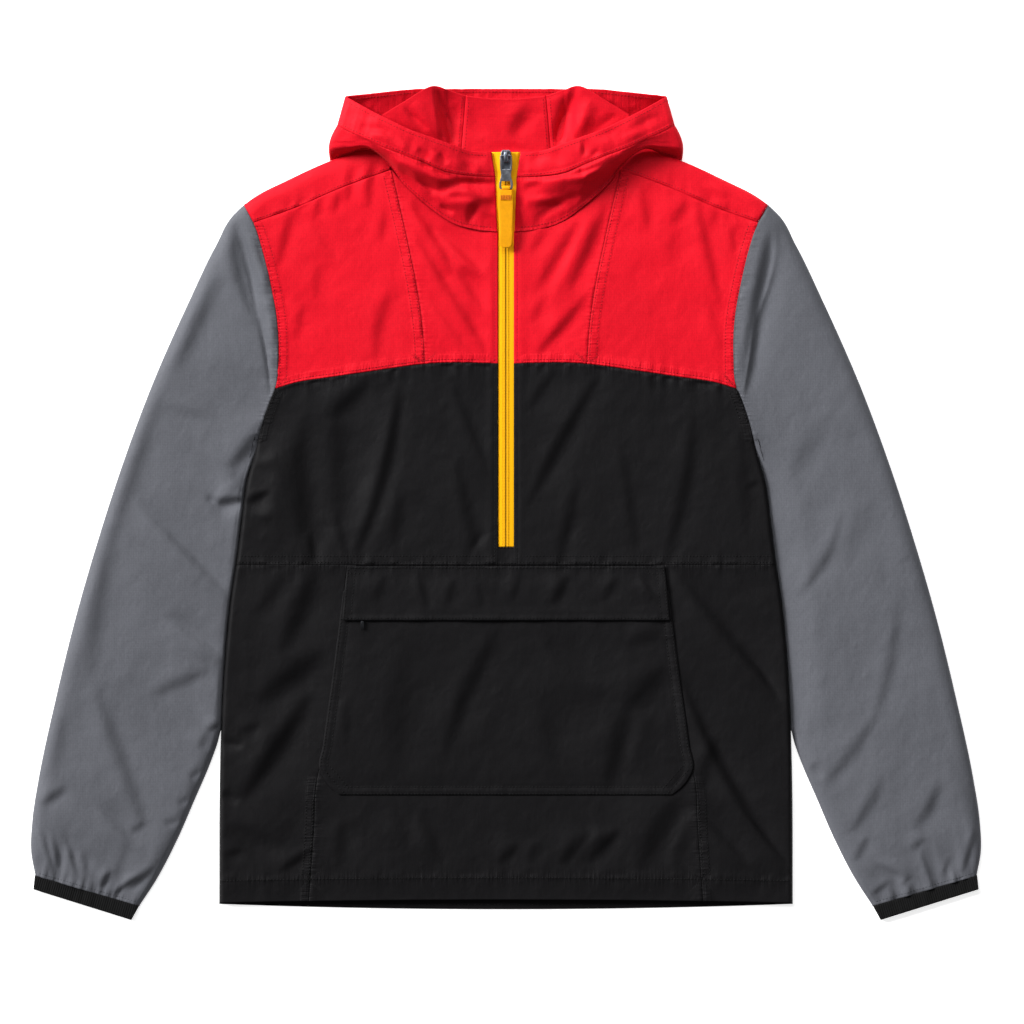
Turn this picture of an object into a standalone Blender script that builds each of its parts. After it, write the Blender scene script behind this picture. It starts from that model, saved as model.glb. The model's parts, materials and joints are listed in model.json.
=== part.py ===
"""A men's hooded half-zip anorak pullover, laid flat on its back on a table.

The cloth panels are walls 1 mm thick. +X is the wearer's left, +Y runs from the hem to the hood
and +Z points up from the table, which is the plane z = 0. All sizes below are millimetres and
become metres when a mesh is made. Left and right in names are the viewer's, at -X and +X.
"""
import math

import bpy
import numpy as np

MM = 0.001

# ---------------------------------------------------------------- driving sizes, in millimetres
WALL = 1.0                 # thickness of one layer of cloth
SEAM_GAP = 0.3             # clearance between two pieces at a seam
SLEEVE_GAP = 0.8           # clearance between a sleeve and the body
LAYER_GAP = 0.3            # clearance between a layer and the one that it lies on
FOLD_MID = 1.7             # height of the fold line where the front turns into the back
LOFT = 3.9                 # how far the front rises above that fold line
EDGE_ROLL = 14.0           # width over which the front rises from its edge
UNDER_ROLL = 3.0           # the same on the underside
CROWN_THICK = 3.0          # the folded crown of the hood, under the back
HEM_Y = -396.5             # lower edge of the front at the centre
HEM_DIP = 3.2              # how much lower that edge is at the side seams
BACK_HEM_Y = -406.5        # lower edge of the back at the centre, a little longer
BACK_HEM_RISE = 5.3        # how much higher that edge is at the side seams
WAIST_Y = -62.0            # seam between chest and lower front
YOKE_SIDE_Y = 114.0        # where the yoke's lower seam meets the armhole
UNDERARM_Y = 54.0          # where the armhole ends and the side seam starts
NAPE_Y = 344.0             # back neckline at the centre
NECK_SIDE = (112.0, 364.0)  # where shoulder line and neckline meet
NECK_CORNER = (114.5, 333.0)  # where neckline, princess seam and shoulder seam meet
SHOULDER_TIP_Y = 298.0
ZIP_HALF = 7.8             # half the width of zip that shows
ZIP_END_Y = -44.0          # lower end of the zip
ZIP_TOP_Y = 350.0          # upper end of the zip
TAPE_HALF = 13.0           # half the width of the whole zip
COIL_HALF = 3.2            # half the width of the closed coil
SLIDER_TOP = 2.6           # top of the slider's body above the zip
PULL_AXIS = (345.2, 24.4)  # y and z of the axis that the pull swings on
PULL_SLOPE = 0.105         # how the resting pull slopes down towards the hem
HEM_HALF = 287.0           # half the width of the hem
CHEST_CORNER_X = 230.5     # where the yoke's lower seam meets the armhole
PRINCESS_FOOT_X = 81.0     # where the princess seam meets the yoke's lower seam
POCKET_Y = -292.0          # lower edge of the pocket
SLEEVE_END = ((366.5, -402.5), (471.0, -372.0))  # inner and outer corner of a sleeve's end
CUFF_TOP = ((367.0, -403.0), (471.3, -372.4))    # the same of its cuff, at the sleeve
CUFF_END = ((374.8, -417.0), (472.6, -386.4))    # and at the hand
CUFF_MID = 2.75            # height of the middle of the cuff
CUFF_HALF = 2.45           # half its thickness
CUFF_ROLL = 5.0            # width over which its ends are rounded
POCKET_PULL_X = -143.5

# ---------------------------------------------------------------- outlines: rows of (y, x)
OUTER_EDGE = (             # shoulder line and outer edge of the sleeve, from the cuff to the neck
    (-372, 471.0), (-350, 475.0), (-318, 474.0), (-278, 468.0), (-198, 451.0), (-118, 431.5),
    (-38, 408.5), (42, 382.5), (122, 352.5), (202, 317.0), (258, 290.0), (290, 271.0),
    (306, 251.5), (322, 220.5), (342, 176.0), (364, 112.0))
SIDE_EDGE = (              # side seam, then the armhole, from the hem to the shoulder tip
    (-410, 287.0), (-258, 286.0), (-198, 284.0), (-138, 280.0), (-98, 276.0), (-58, 270.0),
    (-18, 265.0), (22, 259.5), (54, 250.0), (82, 243.0), (102, 236.0), (117, 230.0),
    (142, 228.0), (182, 229.0), (222, 236.0), (258, 245.0), (280, 252.5), (298, 262.0))
SLEEVE_INNER = (           # inner edge of the sleeve below the place where it leaves the body
    (-402.5, 366.5), (-378, 350.5), (-338, 329.5), (-298, 312.0), (-258, 295.0), (-238, 288.0),
    (-228, 285.6))
PRINCESS = (               # seam between the centre and side panels of the yoke
    (139, 81.0), (176, 83.5), (218, 89.5), (262, 98.5), (300, 107.0), (333, 114.5))
LOWER_SEAM = (             # seam between the side and centre panels below the waist
    (-410, 198.0), (-330, 192.0), (-270, 187.5), (-252, 182.5), (-172, 172.0), (-62, 158.5))
CROWN_HALF = (             # half width of the folded crown, from its tip to the back hem
    (165, 66.0), (176, 92.0), (200, 116.0), (245, 136.0), (290, 152.0), (335, 169.0), (356, 173.0),
    (377, 165.0), (394, 157.0), (403, 140.0), (410, 108.0))

# ---------------------------------------------------------------- cross seams: rows of (x, y)
CHEST_SEAM = (             # seam between the red yoke and the black chest
    (-231, 114.0), (-211, 120.0), (-173, 126.0), (-135, 131.5), (-97, 137.0), (-80, 139.0),
    (0, 139.5), (80, 139.0), (97, 137.0), (135, 131.5), (173, 126.0), (211, 120.0), (231, 114.0))
NECKLINE = (               # front neckline from the zip to the corner at the shoulder seam
    (ZIP_HALF + 0.3, 271.2), (52.0, 278.7), (77.0, 295.2), (101.0, 317.2), NECK_CORNER)
SHOULDER_SEAM = (          # where the back yoke, brought over the shoulder, meets the front
    NECK_CORNER, (147.0, 321.5), (170.0, 312.5), (209.0, 295.5), (252.2, 280.0))
POCKET_SIDE = (            # side edge of the pocket, rows of (y, x)
    (-292, 166.0), (-289, 170.0), (-268, 186.0), (-242, 183.0), (-181, 174.5), (-62, 159.5))
FLAP_TOP, FLAP_BOTTOM = 158.5, 163.5  # half widths of the flap over the pocket
POCKET_ROOM = 1.6          # how far the panel under the pocket lies below it
FLAP_Y = -116.5            # lower edge of the flap
POCKET_OPEN_Y = -88.0      # upper edge of the pocket, under the flap

# ---------------------------------------------------------------- hood, one row a station
# from the zip to the fold at the side: lower edge, height of the belly, band seam, rim
HOOD_COLUMNS = ("low_x", "low_y", "low_z", "belly_z", "seam_x", "seam_y", "seam_z",
                "rim_x", "rim_y", "rim_z")
HOOD_STATIONS = (
    (9.5, 271.8, 9.6, 15.5, 10.5, 325.0, 19.0, 14.5, 350.0, 20.0),
    (30.0, 274.0, 9.8, 18.0, 34.0, 326.0, 22.0, 34.5, 351.0, 22.5),
    (54.0, 281.0, 9.9, 21.5, 59.0, 329.5, 26.5, 53.5, 357.0, 26.0),
    (78.0, 297.5, 10.2, 25.0, 80.0, 338.0, 31.0, 75.0, 364.5, 29.5),
    (101.5, 319.0, 10.4, 27.0, 103.0, 347.0, 34.0, 95.0, 371.5, 31.5),
    (116.0, 338.0, 10.6, 26.5, 122.0, 354.0, 34.5, 113.0, 380.0, 31.0),
    (137.0, 351.5, 10.0, 22.0, 140.0, 362.5, 31.0, 132.0, 389.5, 28.0),
    (158.0, 354.0, 7.0, 17.0, 156.0, 370.0, 26.0, 148.0, 397.5, 22.5),
    (175.0, 356.0, 5.4, 9.5, 167.0, 377.0, 17.0, 160.5, 403.5, 14.5),
    (174.0, 357.0, 4.6, 4.6, 165.5, 378.0, 4.6, 159.0, 402.5, 4.6))
BAND_PLUMP = 0.8           # how far the band's middle stands above the line from seam to rim

# from the centre to the side: nape seam, two heights on the way, the line where it folds over
INSIDE_COLUMNS = ("nape_x", "nape_y", "nape_z", "low_z", "mid_z", "fold_x", "fold_y", "fold_z")
INSIDE_STATIONS = (
    (0.0, 344.4, 4.8, 5.4, 7.0, 0.0, 403.4, 10.0),
    (22.0, 345.2, 4.8, 5.4, 7.2, 20.0, 404.5, 10.4),
    (46.0, 347.6, 4.8, 5.6, 7.6, 41.0, 407.2, 11.5),
    (56.0, 349.2, 4.8, 6.6, 9.0, 58.0, 412.5, 15.0),
    (66.0, 351.0, 5.0, 12.5, 16.5, 75.0, 415.5, 20.5),
    (88.0, 356.0, 5.4, 13.5, 18.0, 100.0, 401.5, 20.0),
    (109.0, 362.6, 6.2, 13.0, 17.0, 124.0, 387.0, 18.0))
TWIN_SEAM = 1.95           # row of that table where the centre meets the side panels

# from the centre to the corner: lower edge of the hem band and its upper edge, with heights
BACK_HEM_COLUMNS = ("low_x", "low_y", "low_z", "top_x", "top_y", "top_z")
BACK_HEM_STATIONS = (
    (0.0, 392.0, 4.8, 0.0, 414.2, 5.6),
    (30.0, 392.0, 4.8, 30.0, 414.0, 5.6),
    (60.0, 394.0, 4.8, 60.0, 413.4, 5.8),
    (92.0, 390.0, 4.8, 90.0, 412.4, 6.4),
    (122.0, 384.0, 4.9, 118.0, 409.6, 8.0),
    (146.0, 388.0, 5.2, 154.0, 405.0, 11.5))

# ---------------------------------------------------------------- folds of the front and sleeves
# one row a fold: x and y of both ends of its line, half its width and its height, troughs negative
FRONT_FOLDS = (
    (-163, -60, -100, 125, 13, -2.2),    # from the flap's left end up to the yoke
    (-140, -60, -72, 122, 14, 1.6),
    (-200, -48, -205, 95, 22, -1.9),
    (-236, -30, -238, 88, 17, 1.5),
    (-62, 105, -14, -40, 16, -1.2),
    (22, -8, 92, 122, 15, -2.2),         # from beside the zip up to the yoke
    (56, -54, 70, 70, 13, 1.3),
    (158, -57, 196, 98, 15, -2.2),       # from the flap's right end up to the yoke
    (118, -50, 150, 90, 18, 1.5),
    (132, -45, 112, 60, 11, -1.2),
    (226, -50, 232, 70, 18, 1.4),
    (-184, -92, -250, -186, 17, -2.1),   # lower left side
    (-176, -150, -232, -258, 15, -2.2),
    (-210, -215, -272, -305, 16, -1.8),
    (-250, -100, -262, -215, 14, 1.5),
    (-196, -346, -236, -374, 11, -1.6),
    (-214, -260, -226, -330, 15, 1.5),
    (162, -78, 276, -196, 17, -2.0),     # lower right side
    (178, -174, 216, -272, 13, -2.2),
    (196, -224, 284, -362, 15, -1.8),
    (224, -120, 236, -240, 15, 1.6),
    (210, -290, 256, -356, 13, 1.4),
    (-4, -128, -58, -246, 17, -1.8),     # pocket
    (152, -170, 104, -262, 15, -1.9),
    (30, -122, 84, -170, 17, -1.1),
    (-120, -135, -90, -250, 20, 1.3),
    (40, -160, 28, -260, 18, 1.4),
    (84, -328, 42, -370, 9, -1.7),       # above the hem
    (118, -328, 78, -370, 9, -1.6),
    (172, -298, 134, -368, 11, -1.9),
    (-18, -346, -52, -372, 9, -1.3),
    (-120, -306, -86, -368, 13, -1.3),
    (-150, 300, -196, 190, 17, -1.4),    # yoke, left side panel
    (-136, 262, -122, 160, 15, 1.3),
    (-214, 250, -214, 150, 13, 1.2),
    (172, 302, 204, 180, 15, -1.5),      # yoke, right side panel
    (140, 250, 116, 160, 15, 1.2),
    (-96, 300, -40, 170, 12, -1.4),      # yoke, beside the zip
    (-70, 282, -24, 190, 10, 1.2),
    (100, 302, 34, 158, 12, -1.5),
    (60, 272, 26, 200, 9, 1.2),
)
SLEEVE_FOLDS = (
    (-272, 288, -245, 168, 5, -2.1),     # left: the fold beside the armhole
    (-245, 175, -236, 100, 5, -1.9),
    (-287, 262, -332, 130, 11, -1.7),
    (-308, 225, -352, 60, 10, 1.3),
    (-350, 114, -397, -60, 13, -1.7),
    (-300, 90, -262, 20, 11, -2.0),
    (-296, 4, -256, -2, 9, -2.3),
    (-330, 60, -300, -90, 17, 1.6),
    (-380, -40, -345, -190, 20, 1.5),
    (-304, -60, -288, -190, 13, -1.5),
    (-403, -226, -366, -322, 13, -1.9),
    (-466, -302, -430, -270, 9, -1.6),
    (-440, -180, -424, -300, 13, 1.4),
    (-352, -258, -340, -320, 10, 1.2),
    (270, 288, 268, 252, 5, -2.0),       # right: the fold beside the armhole
    (275, 242, 240, 120, 6, -2.2),
    (292, 250, 338, 110, 12, -1.2),
    (262, 200, 300, 60, 15, 1.4),
    (343, -5, 306, -72, 12, -1.9),
    (318, 90, 300, -20, 14, 1.4),
    (392, 20, 352, -130, 18, 1.4),
    (300, -70, 292, -190, 13, -1.5),
    (353, -234, 318, -282, 12, -1.9),
    (430, -306, 406, -326, 8, -1.6),
    (374, -298, 350, -358, 10, -1.7),
    (420, -180, 396, -300, 15, 1.4),
)
GATHERS = 10               # waves that the elastic cuff draws into each sleeve's end
GATHER_REACH = 62.0        # how far up the sleeve they run
GATHER_HEIGHT = 2.0

# ---------------------------------------------------------------- slider, pull and tab
SLIDER_ROWS = (            # y and half width of the slider's body
    (331.0, 4.0), (332.5, 5.0), (338.0, 5.4), (346.0, 5.4), (350.5, 4.8), (352.0, 3.2))
BRIDGE_FOOT = -2.3         # lowest point of the bridge, from the pull's axis
BRIDGE_OUTER = (           # y and z of its outer side from that axis
    (-5.9, BRIDGE_FOOT), (-5.9, 2.4), (-4.9, 3.4), (4.9, 3.4), (5.9, 2.4), (5.9, BRIDGE_FOOT))
BRIDGE_INNER = (           # and of its inner side, opposite each of those points
    (-4.6, BRIDGE_FOOT), (-4.6, 2.0), (-3.8, 2.2), (3.8, 2.2), (4.6, 2.0), (4.6, BRIDGE_FOOT))
BRIDGE_HALF = 2.2          # half the width of the bridge
PULL_COLUMNS = (-6.7, -4.4, 4.4, 6.7)           # sides of the pull and of its windows
PULL_ROWS = (-1.25, 1.25, 14.0, 24.0, 30.6, 32.6)  # bars and windows, from the axis outwards
PULL_HALF = 0.8            # half the thickness of the pull
TAB_ROWS = (               # reach from the axis, half thickness and half width of the tab
    (29.0, 1.0, 3.6), (29.6, 1.7, 4.1), (30.35, 2.0, 4.1), (30.6, 2.0, 6.4), (34.0, 1.9, 6.9),
    (44.0, 1.3, 6.7), (66.0, 1.1, 6.1), (85.0, 1.0, 5.3), (88.5, 0.9, 4.4), (90.2, 0.8, 2.4))
TAB_SLOT = (9.0, 30.3, 32.9, 1.1)  # half width, first and last reach, half height of the bar's slot
POCKET_PULL_ROWS = (       # y and half width of the pocket zip's pull
    (-126.5, 1.0), (-125.0, 1.9), (-120.0, 1.9), (-118.0, 1.6))

# ---------------------------------------------------------------- colours of the cloths
RED = (0.83, 0.012, 0.026)
BLACK = (0.013, 0.013, 0.014)
GREY = (0.125, 0.132, 0.148)
RIB_BLACK = (0.008, 0.008, 0.008)
YELLOW = (0.93, 0.42, 0.012)
GUNMETAL = (0.16, 0.18, 0.21)


# ================================================================ lines
def smooth_line(rows):
    """A function that runs smoothly through rows of (place, value), place rising."""
    place, value = np.array(rows, float).T
    slope = np.gradient(value, place)

    def at(q):
        q = np.clip(q, place[0], place[-1])
        i = np.clip(np.searchsorted(place, q) - 1, 0, len(place) - 2)
        h = place[i + 1] - place[i]
        t = (q - place[i]) / h
        return (value[i] * (1 + 2 * t) * (1 - t) ** 2 + h * slope[i] * t * (1 - t) ** 2
                + value[i + 1] * t * t * (3 - 2 * t) + h * slope[i + 1] * t * t * (t - 1))
    return at


def smooth_step(t):
    t = np.clip(t, 0.0, 1.0)
    return t * t * (3 - 2 * t)


def rolled(distance, width):
    """0 at an edge, rising like a quarter of an ellipse to 1 at width from it."""
    t = np.clip(distance / width, 0.0, 1.0)
    return np.sqrt(np.clip(1 - (1 - t) ** 2, 0.0, 1.0))


outer_edge = smooth_line(OUTER_EDGE)
side_edge = smooth_line(SIDE_EDGE)
sleeve_inner_low = smooth_line(SLEEVE_INNER)
princess = smooth_line(PRINCESS)
lower_seam = smooth_line(LOWER_SEAM)
crown_half = smooth_line(CROWN_HALF)
chest_seam = smooth_line(CHEST_SEAM)
pocket_side = smooth_line(POCKET_SIDE)


def hem(x):
    return HEM_Y - HEM_DIP * (x / HEM_HALF) ** 2


def back_hem(x):
    return BACK_HEM_Y + BACK_HEM_RISE * (x / HEM_HALF) ** 2


def sleeve_inner(y):
    """Inner edge of the sleeve: beside the body, then away from it towards the cuff."""
    beside = side_edge(y) + SLEEVE_GAP
    return np.where(y < SLEEVE_INNER[-1][0], np.maximum(sleeve_inner_low(y), beside), beside)


def through(points):
    """A smooth edge through points of (x, y), as a function of 0..1."""
    x, y = np.array(points, float).T
    place = np.concatenate([[0], np.cumsum(np.hypot(np.diff(x), np.diff(y)))])
    place = place / place[-1]
    line_x, line_y = smooth_line(np.stack([place, x], 1)), smooth_line(np.stack([place, y], 1))
    return lambda q: (line_x(q), line_y(q))


def straight(start, end):
    """A straight edge from start to end."""
    return lambda q: (start[0] + (end[0] - start[0]) * q, start[1] + (end[1] - start[1]) * q)


def along_y(line, start, end, shift=0.0):
    """An edge that follows x = line(y) + shift from y = start to y = end."""
    return lambda q: (line(start + (end - start) * q) + shift, start + (end - start) * q)


def along_x(line, start, end, shift=0.0):
    """An edge that follows y = line(x) + shift from x = start to x = end."""
    return lambda q: (start + (end - start) * q, line(start + (end - start) * q) + shift)


def coons(bottom, top, left, right, across, along):
    """A patch between four edges, each a function of 0..1 that gives x and y.

    bottom and top run from left to right; left and right run from bottom to top.
    """
    s, t = np.meshgrid(across, along)
    corners = [f(np.float64(q)) for f, q in ((bottom, 0), (bottom, 1), (top, 0), (top, 1))]
    x_and_y = []
    for k in (0, 1):
        x_and_y.append((1 - t) * bottom(s)[k] + t * top(s)[k] + (1 - s) * left(t)[k]
                       + s * right(t)[k] - (1 - s) * (1 - t) * corners[0][k]
                       - s * (1 - t) * corners[1][k] - (1 - s) * t * corners[2][k]
                       - s * t * corners[3][k])
    return x_and_y


def toward_edge(width, count, steps):
    """count even places from 0, then places that end at the given distances from 1."""
    ends = 1 - np.array(steps) / width
    return np.concatenate([np.linspace(0, ends[0], count + 1), ends[1:]])


def both_ends(width, count, steps):
    """Places from 0 to 1 with the given distances at either end and count even ones between."""
    ends = np.array(steps[::-1]) / width
    return np.concatenate([ends[:-1], np.linspace(ends[-1], 1 - ends[-1], count + 1),
                           1 - ends[-2::-1]])


# ================================================================ heights of the cloth
def lift(x, y):
    """How far the folded crown of the hood holds the back off the table."""
    margin, fade = 17.0, 30.0
    across = smooth_step((crown_half(y) + margin + fade - np.abs(x)) / fade)
    along = smooth_step((y - CROWN_HALF[0][0] + margin + fade) / fade)
    return (CROWN_THICK + LAYER_GAP) * across * along


def edge_distance(x, y):
    """Distance from the shoulder line or the outer edge of the sleeve."""
    slope = (outer_edge(y + 2.0) - outer_edge(y - 2.0)) / 4.0
    return (outer_edge(y) - np.abs(x)) / np.sqrt(1 + slope ** 2)


def side_share(y):
    """1 where body and sleeve lie apart, 0 where the armhole seam joins them."""
    return smooth_step((UNDERARM_Y + 22.0 - y) / 50.0)


def fold_heights(x, y, rows):
    """The sum of soft troughs and ridges, each along its own line."""
    total = np.zeros(np.shape(x))
    for x0, y0, x1, y1, half_width, height in rows:
        run_x, run_y = x1 - x0, y1 - y0
        length = math.hypot(run_x, run_y)
        along = ((x - x0) * run_x + (y - y0) * run_y) / length ** 2
        across = ((x - x0) * run_y - (y - y0) * run_x) / length
        ends = np.sin(math.pi * np.clip(along, 0, 1)) ** 0.7
        total += height * np.exp(-(across / half_width) ** 2) * ends
    return total


def front_top(x, y):
    """Upper face of the front of the body."""
    side = rolled(side_edge(y) - np.abs(x), EDGE_ROLL)
    loft = rolled(edge_distance(x, y), EDGE_ROLL) * (1 - side_share(y) * (1 - side))
    calm = smooth_step((np.abs(x) - ZIP_HALF) / 18.0) * loft ** 2
    height = LOFT * loft + calm * fold_heights(x, y, FRONT_FOLDS)
    return lift(x, y) + FOLD_MID + SEAM_GAP / 2 + np.maximum(height, LOFT * 0.3 * loft)


def under_face(x, y):
    """Lower face of the back of the body, flat on the table but for its rolled edges."""
    side = rolled(side_edge(y) - np.abs(x), UNDER_ROLL)
    roll = rolled(edge_distance(x, y), UNDER_ROLL) * (1 - side_share(y) * (1 - side))
    return lift(x, y) + (FOLD_MID - SEAM_GAP / 2) * (1 - roll)


def sleeve_top(x, y, gather):
    """Upper face of a sleeve; gather is the height that the cuff's elastic adds."""
    inner = rolled(np.abs(x) - sleeve_inner(y), EDGE_ROLL)
    loft = rolled(edge_distance(x, y), EDGE_ROLL) * (1 - side_share(y) * (1 - inner))
    height = LOFT * loft + loft ** 2 * (fold_heights(x, y, SLEEVE_FOLDS) + gather)
    return FOLD_MID + SEAM_GAP / 2 + np.maximum(height, LOFT * 0.3 * loft) + lift(x, y)


def sleeve_under(x, y):
    """Lower face of a sleeve."""
    inner = rolled(np.abs(x) - sleeve_inner(y), UNDER_ROLL)
    roll = rolled(edge_distance(x, y), UNDER_ROLL) * (1 - side_share(y) * (1 - inner))
    return (FOLD_MID - SEAM_GAP / 2) * (1 - roll) + lift(x, y)


# ================================================================ meshes
def material(name, colour, roughness, metallic=0.0):
    made = bpy.data.materials.new(name)
    made.use_nodes = True
    shader = made.node_tree.nodes["Principled BSDF"]
    shader.inputs["Base Color"].default_value = (*colour, 1.0)
    shader.inputs["Roughness"].default_value = roughness
    shader.inputs["Metallic"].default_value = metallic
    made.diffuse_color = (*colour, 1.0)
    return made


def volume(points, faces):
    """Six times the volume inside the faces."""
    return sum(np.dot(points[f[0]], np.cross(points[f[k]], points[f[k + 1]]))
               for f in faces for k in range(1, len(f) - 1))


def solid(name, outer, inner, finish, ring=False, keep=None):
    """A closed body between two grids of points, in millimetres.

    ring joins the last column to the first. keep marks the cells that exist.
    """
    rows, columns = outer.shape[:2]
    count = rows * columns
    quads = []
    for r in range(rows - 1):
        for c in range(columns if ring else columns - 1):
            if keep is None or keep[r, c]:
                d = (c + 1) % columns
                quads.append((r * columns + c, r * columns + d,
                              (r + 1) * columns + d, (r + 1) * columns + c))
    edges = {(q[k], q[(k + 1) % 4]) for q in quads for k in range(4)}
    faces = list(quads)
    faces += [tuple(v + count for v in reversed(q)) for q in quads]
    faces += [(b, a, a + count, b + count) for a, b in sorted(edges) if (b, a) not in edges]
    points = np.concatenate([outer.reshape(-1, 3), inner.reshape(-1, 3)])
    used = sorted({v for f in faces for v in f})
    order = {v: k for k, v in enumerate(used)}
    faces = [tuple(order[v] for v in f) for f in faces]
    points = points[used]
    if volume(points, faces) < 0:
        faces = [f[::-1] for f in faces]
    mesh = bpy.data.meshes.new(name)
    mesh.from_pydata((points * MM).tolist(), [], faces)
    mesh.materials.append(finish)
    made = bpy.data.objects.new(name, mesh)
    bpy.context.scene.collection.objects.link(made)
    return made


def normals(grid, ring=False):
    """Unit normals of a grid."""
    if ring:
        wrapped = np.concatenate([grid[:, -1:], grid, grid[:, :1]], axis=1)
        across = np.gradient(wrapped, axis=1)[:, 1:-1]
    else:
        across = np.gradient(grid, axis=1)
    found = np.cross(across, np.gradient(grid, axis=0))
    return found / np.linalg.norm(found, axis=2, keepdims=True)


def away(grid, facing, ring=False):
    """Unit normals that look the way of facing, or away from a ring's own axis."""
    found = normals(grid, ring)
    if ring:
        facing = grid - grid.mean(axis=1, keepdims=True)
    turn = np.sign((found * facing).sum())
    return found * turn


def cloth(name, grid, finish, facing=(0, 0, 1), ring=False, keep=None, level=None, wall=WALL):
    """A panel whose outer face is the grid and whose wall lies behind it.

    level is how far each point's wall is turned to lie level, for a fold line that two pieces share.
    """
    out = away(grid, np.array(facing, float), ring)
    if level is not None:
        out[..., 2] *= 1 - level
        out /= np.linalg.norm(out, axis=2, keepdims=True)
    return solid(name, grid, grid - out * wall, finish, ring, keep)


def draped(x, y, side, height):
    """A grid of points at x (to one side) and y, on the given surface."""
    return np.stack([side * x, y, height(side * x, y)], axis=-1)


def level_at_side(y, columns):
    """Turns the walls level in the given columns where body and sleeve lie apart."""
    level = np.zeros(y.shape)
    level[:, columns] = side_share(y[:, columns])
    return level


SIDES = (("left", -1), ("right", 1))  # as seen from above
UP, DOWN = np.array((0, 0, 1.0)), np.array((0, 0, -1.0))

# ================================================================ front of the body
ROLL_STEPS = (EDGE_ROLL, 8.0, 3.6, 1.1, 0.0)  # rows and columns at these distances from an edge
SEAM = SEAM_GAP / 2
SLOT_HALF = ZIP_HALF + SEAM_GAP
CHEST_PLACES = toward_edge(245.0, 11, ROLL_STEPS)  # columns of the chest, from the zip outwards


def make_chest(finish):
    """Black chest, with the slot that the zip is set in."""
    half = np.concatenate([[1e-6], CHEST_PLACES[1:]])
    s, t = np.meshgrid(np.concatenate([-half[::-1], half]), np.linspace(0, 1, 12))
    x = np.sign(s) * (SLOT_HALF + np.abs(s) * (CHEST_CORNER_X - SLOT_HALF))
    top = chest_seam(x) - SEAM
    low = WAIST_Y + SEAM
    y = np.where(t <= t[1], low + (ZIP_END_Y - low) * t / t[1],
                 ZIP_END_Y + (top - ZIP_END_Y) * (t - t[1]) / (1 - t[1]))
    for _ in range(3):
        x = np.sign(s) * (SLOT_HALF + np.abs(s) * (side_edge(y) - SLOT_HALF))
    keep = np.ones((s.shape[0] - 1, s.shape[1] - 1), bool)
    keep[1:, s.shape[1] // 2 - 1] = False
    cloth("front_chest", draped(x, y, 1, front_top), finish, keep=keep,
          level=level_at_side(y, [0, -1]))


def make_yoke(finish):
    """Red yoke: a centre and a side panel at each side of the zip."""
    seam_x, seam_y = NECK_CORNER
    foot_x, foot_y = PRINCESS_FOOT_X, chest_seam(PRINCESS_FOOT_X) + SEAM
    neck = through(NECKLINE[:-1] + ((seam_x - SEAM, seam_y - SEAM),))
    columns = SLOT_HALF + CHEST_PLACES * (CHEST_CORNER_X - SLOT_HALF)
    beyond = columns[columns > foot_x + 9.0]   # the chest's columns that go on above the seam
    beyond = (beyond - foot_x - SEAM) / (CHEST_CORNER_X - foot_x - SEAM)
    for word, side in SIDES:
        x, y = coons(along_x(chest_seam, SLOT_HALF, foot_x - SEAM, SEAM),
                     neck,
                     straight((SLOT_HALF, chest_seam(SLOT_HALF) + SEAM), (SLOT_HALF, NECKLINE[0][1])),
                     along_y(princess, foot_y, seam_y - SEAM, -SEAM),
                     np.linspace(0, 1, 8), np.linspace(0, 1, 11))
        cloth("yoke_centre_" + word, draped(x, y, side, front_top), finish)
        x, y = coons(along_x(chest_seam, foot_x + SEAM, CHEST_CORNER_X, SEAM),
                     through([(px, py - SEAM) for px, py in SHOULDER_SEAM]),
                     along_y(princess, foot_y, seam_y - SEAM, SEAM),
                     along_y(side_edge, YOKE_SIDE_Y + SEAM, SHOULDER_SEAM[-1][1] - SEAM),
                     np.concatenate([[0.0], beyond]), np.linspace(0, 1, 9))
        cloth("yoke_side_" + word, draped(x, y, side, front_top), finish)


def under_pocket(x, y):
    """Upper face of the lower centre panel, which keeps below the folds of the pocket on it."""
    inside = np.minimum(pocket_side(y) - 3 - np.abs(x), y - POCKET_Y)
    return front_top(x, y) - POCKET_ROOM * smooth_step(inside / 18.0)


def make_lower_front(finish):
    """Black front below the waist seam: a centre panel and two side panels."""
    corner_x = lower_seam(HEM_Y)
    y_low, y_high = hem(corner_x), WAIST_Y - SEAM
    along = np.linspace(0, 1, 14)
    s, t = np.meshgrid(np.concatenate([[-1, -0.95], np.linspace(-0.86, 0.86, 9), [0.95, 1]]), along)
    x = s * corner_x
    for _ in range(4):
        y = hem(x) + (y_high - hem(x)) * t
        x = s * (lower_seam(y) - SEAM)
    cloth("front_lower_centre", draped(x, y, 1, under_pocket), finish)
    across = toward_edge(105.0, 6, ROLL_STEPS)
    for word, side in SIDES:
        x, y = coons(along_x(hem, lower_seam(y_low) + SEAM, HEM_HALF),
                     straight((lower_seam(y_high) + SEAM, y_high), (side_edge(y_high), y_high)),
                     along_y(lower_seam, y_low, y_high, SEAM),
                     along_y(side_edge, hem(HEM_HALF), y_high),
                     across, along)
        cloth("front_lower_side_" + word, draped(x, y, side, front_top), finish,
              level=level_at_side(y, [-1]))


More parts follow.
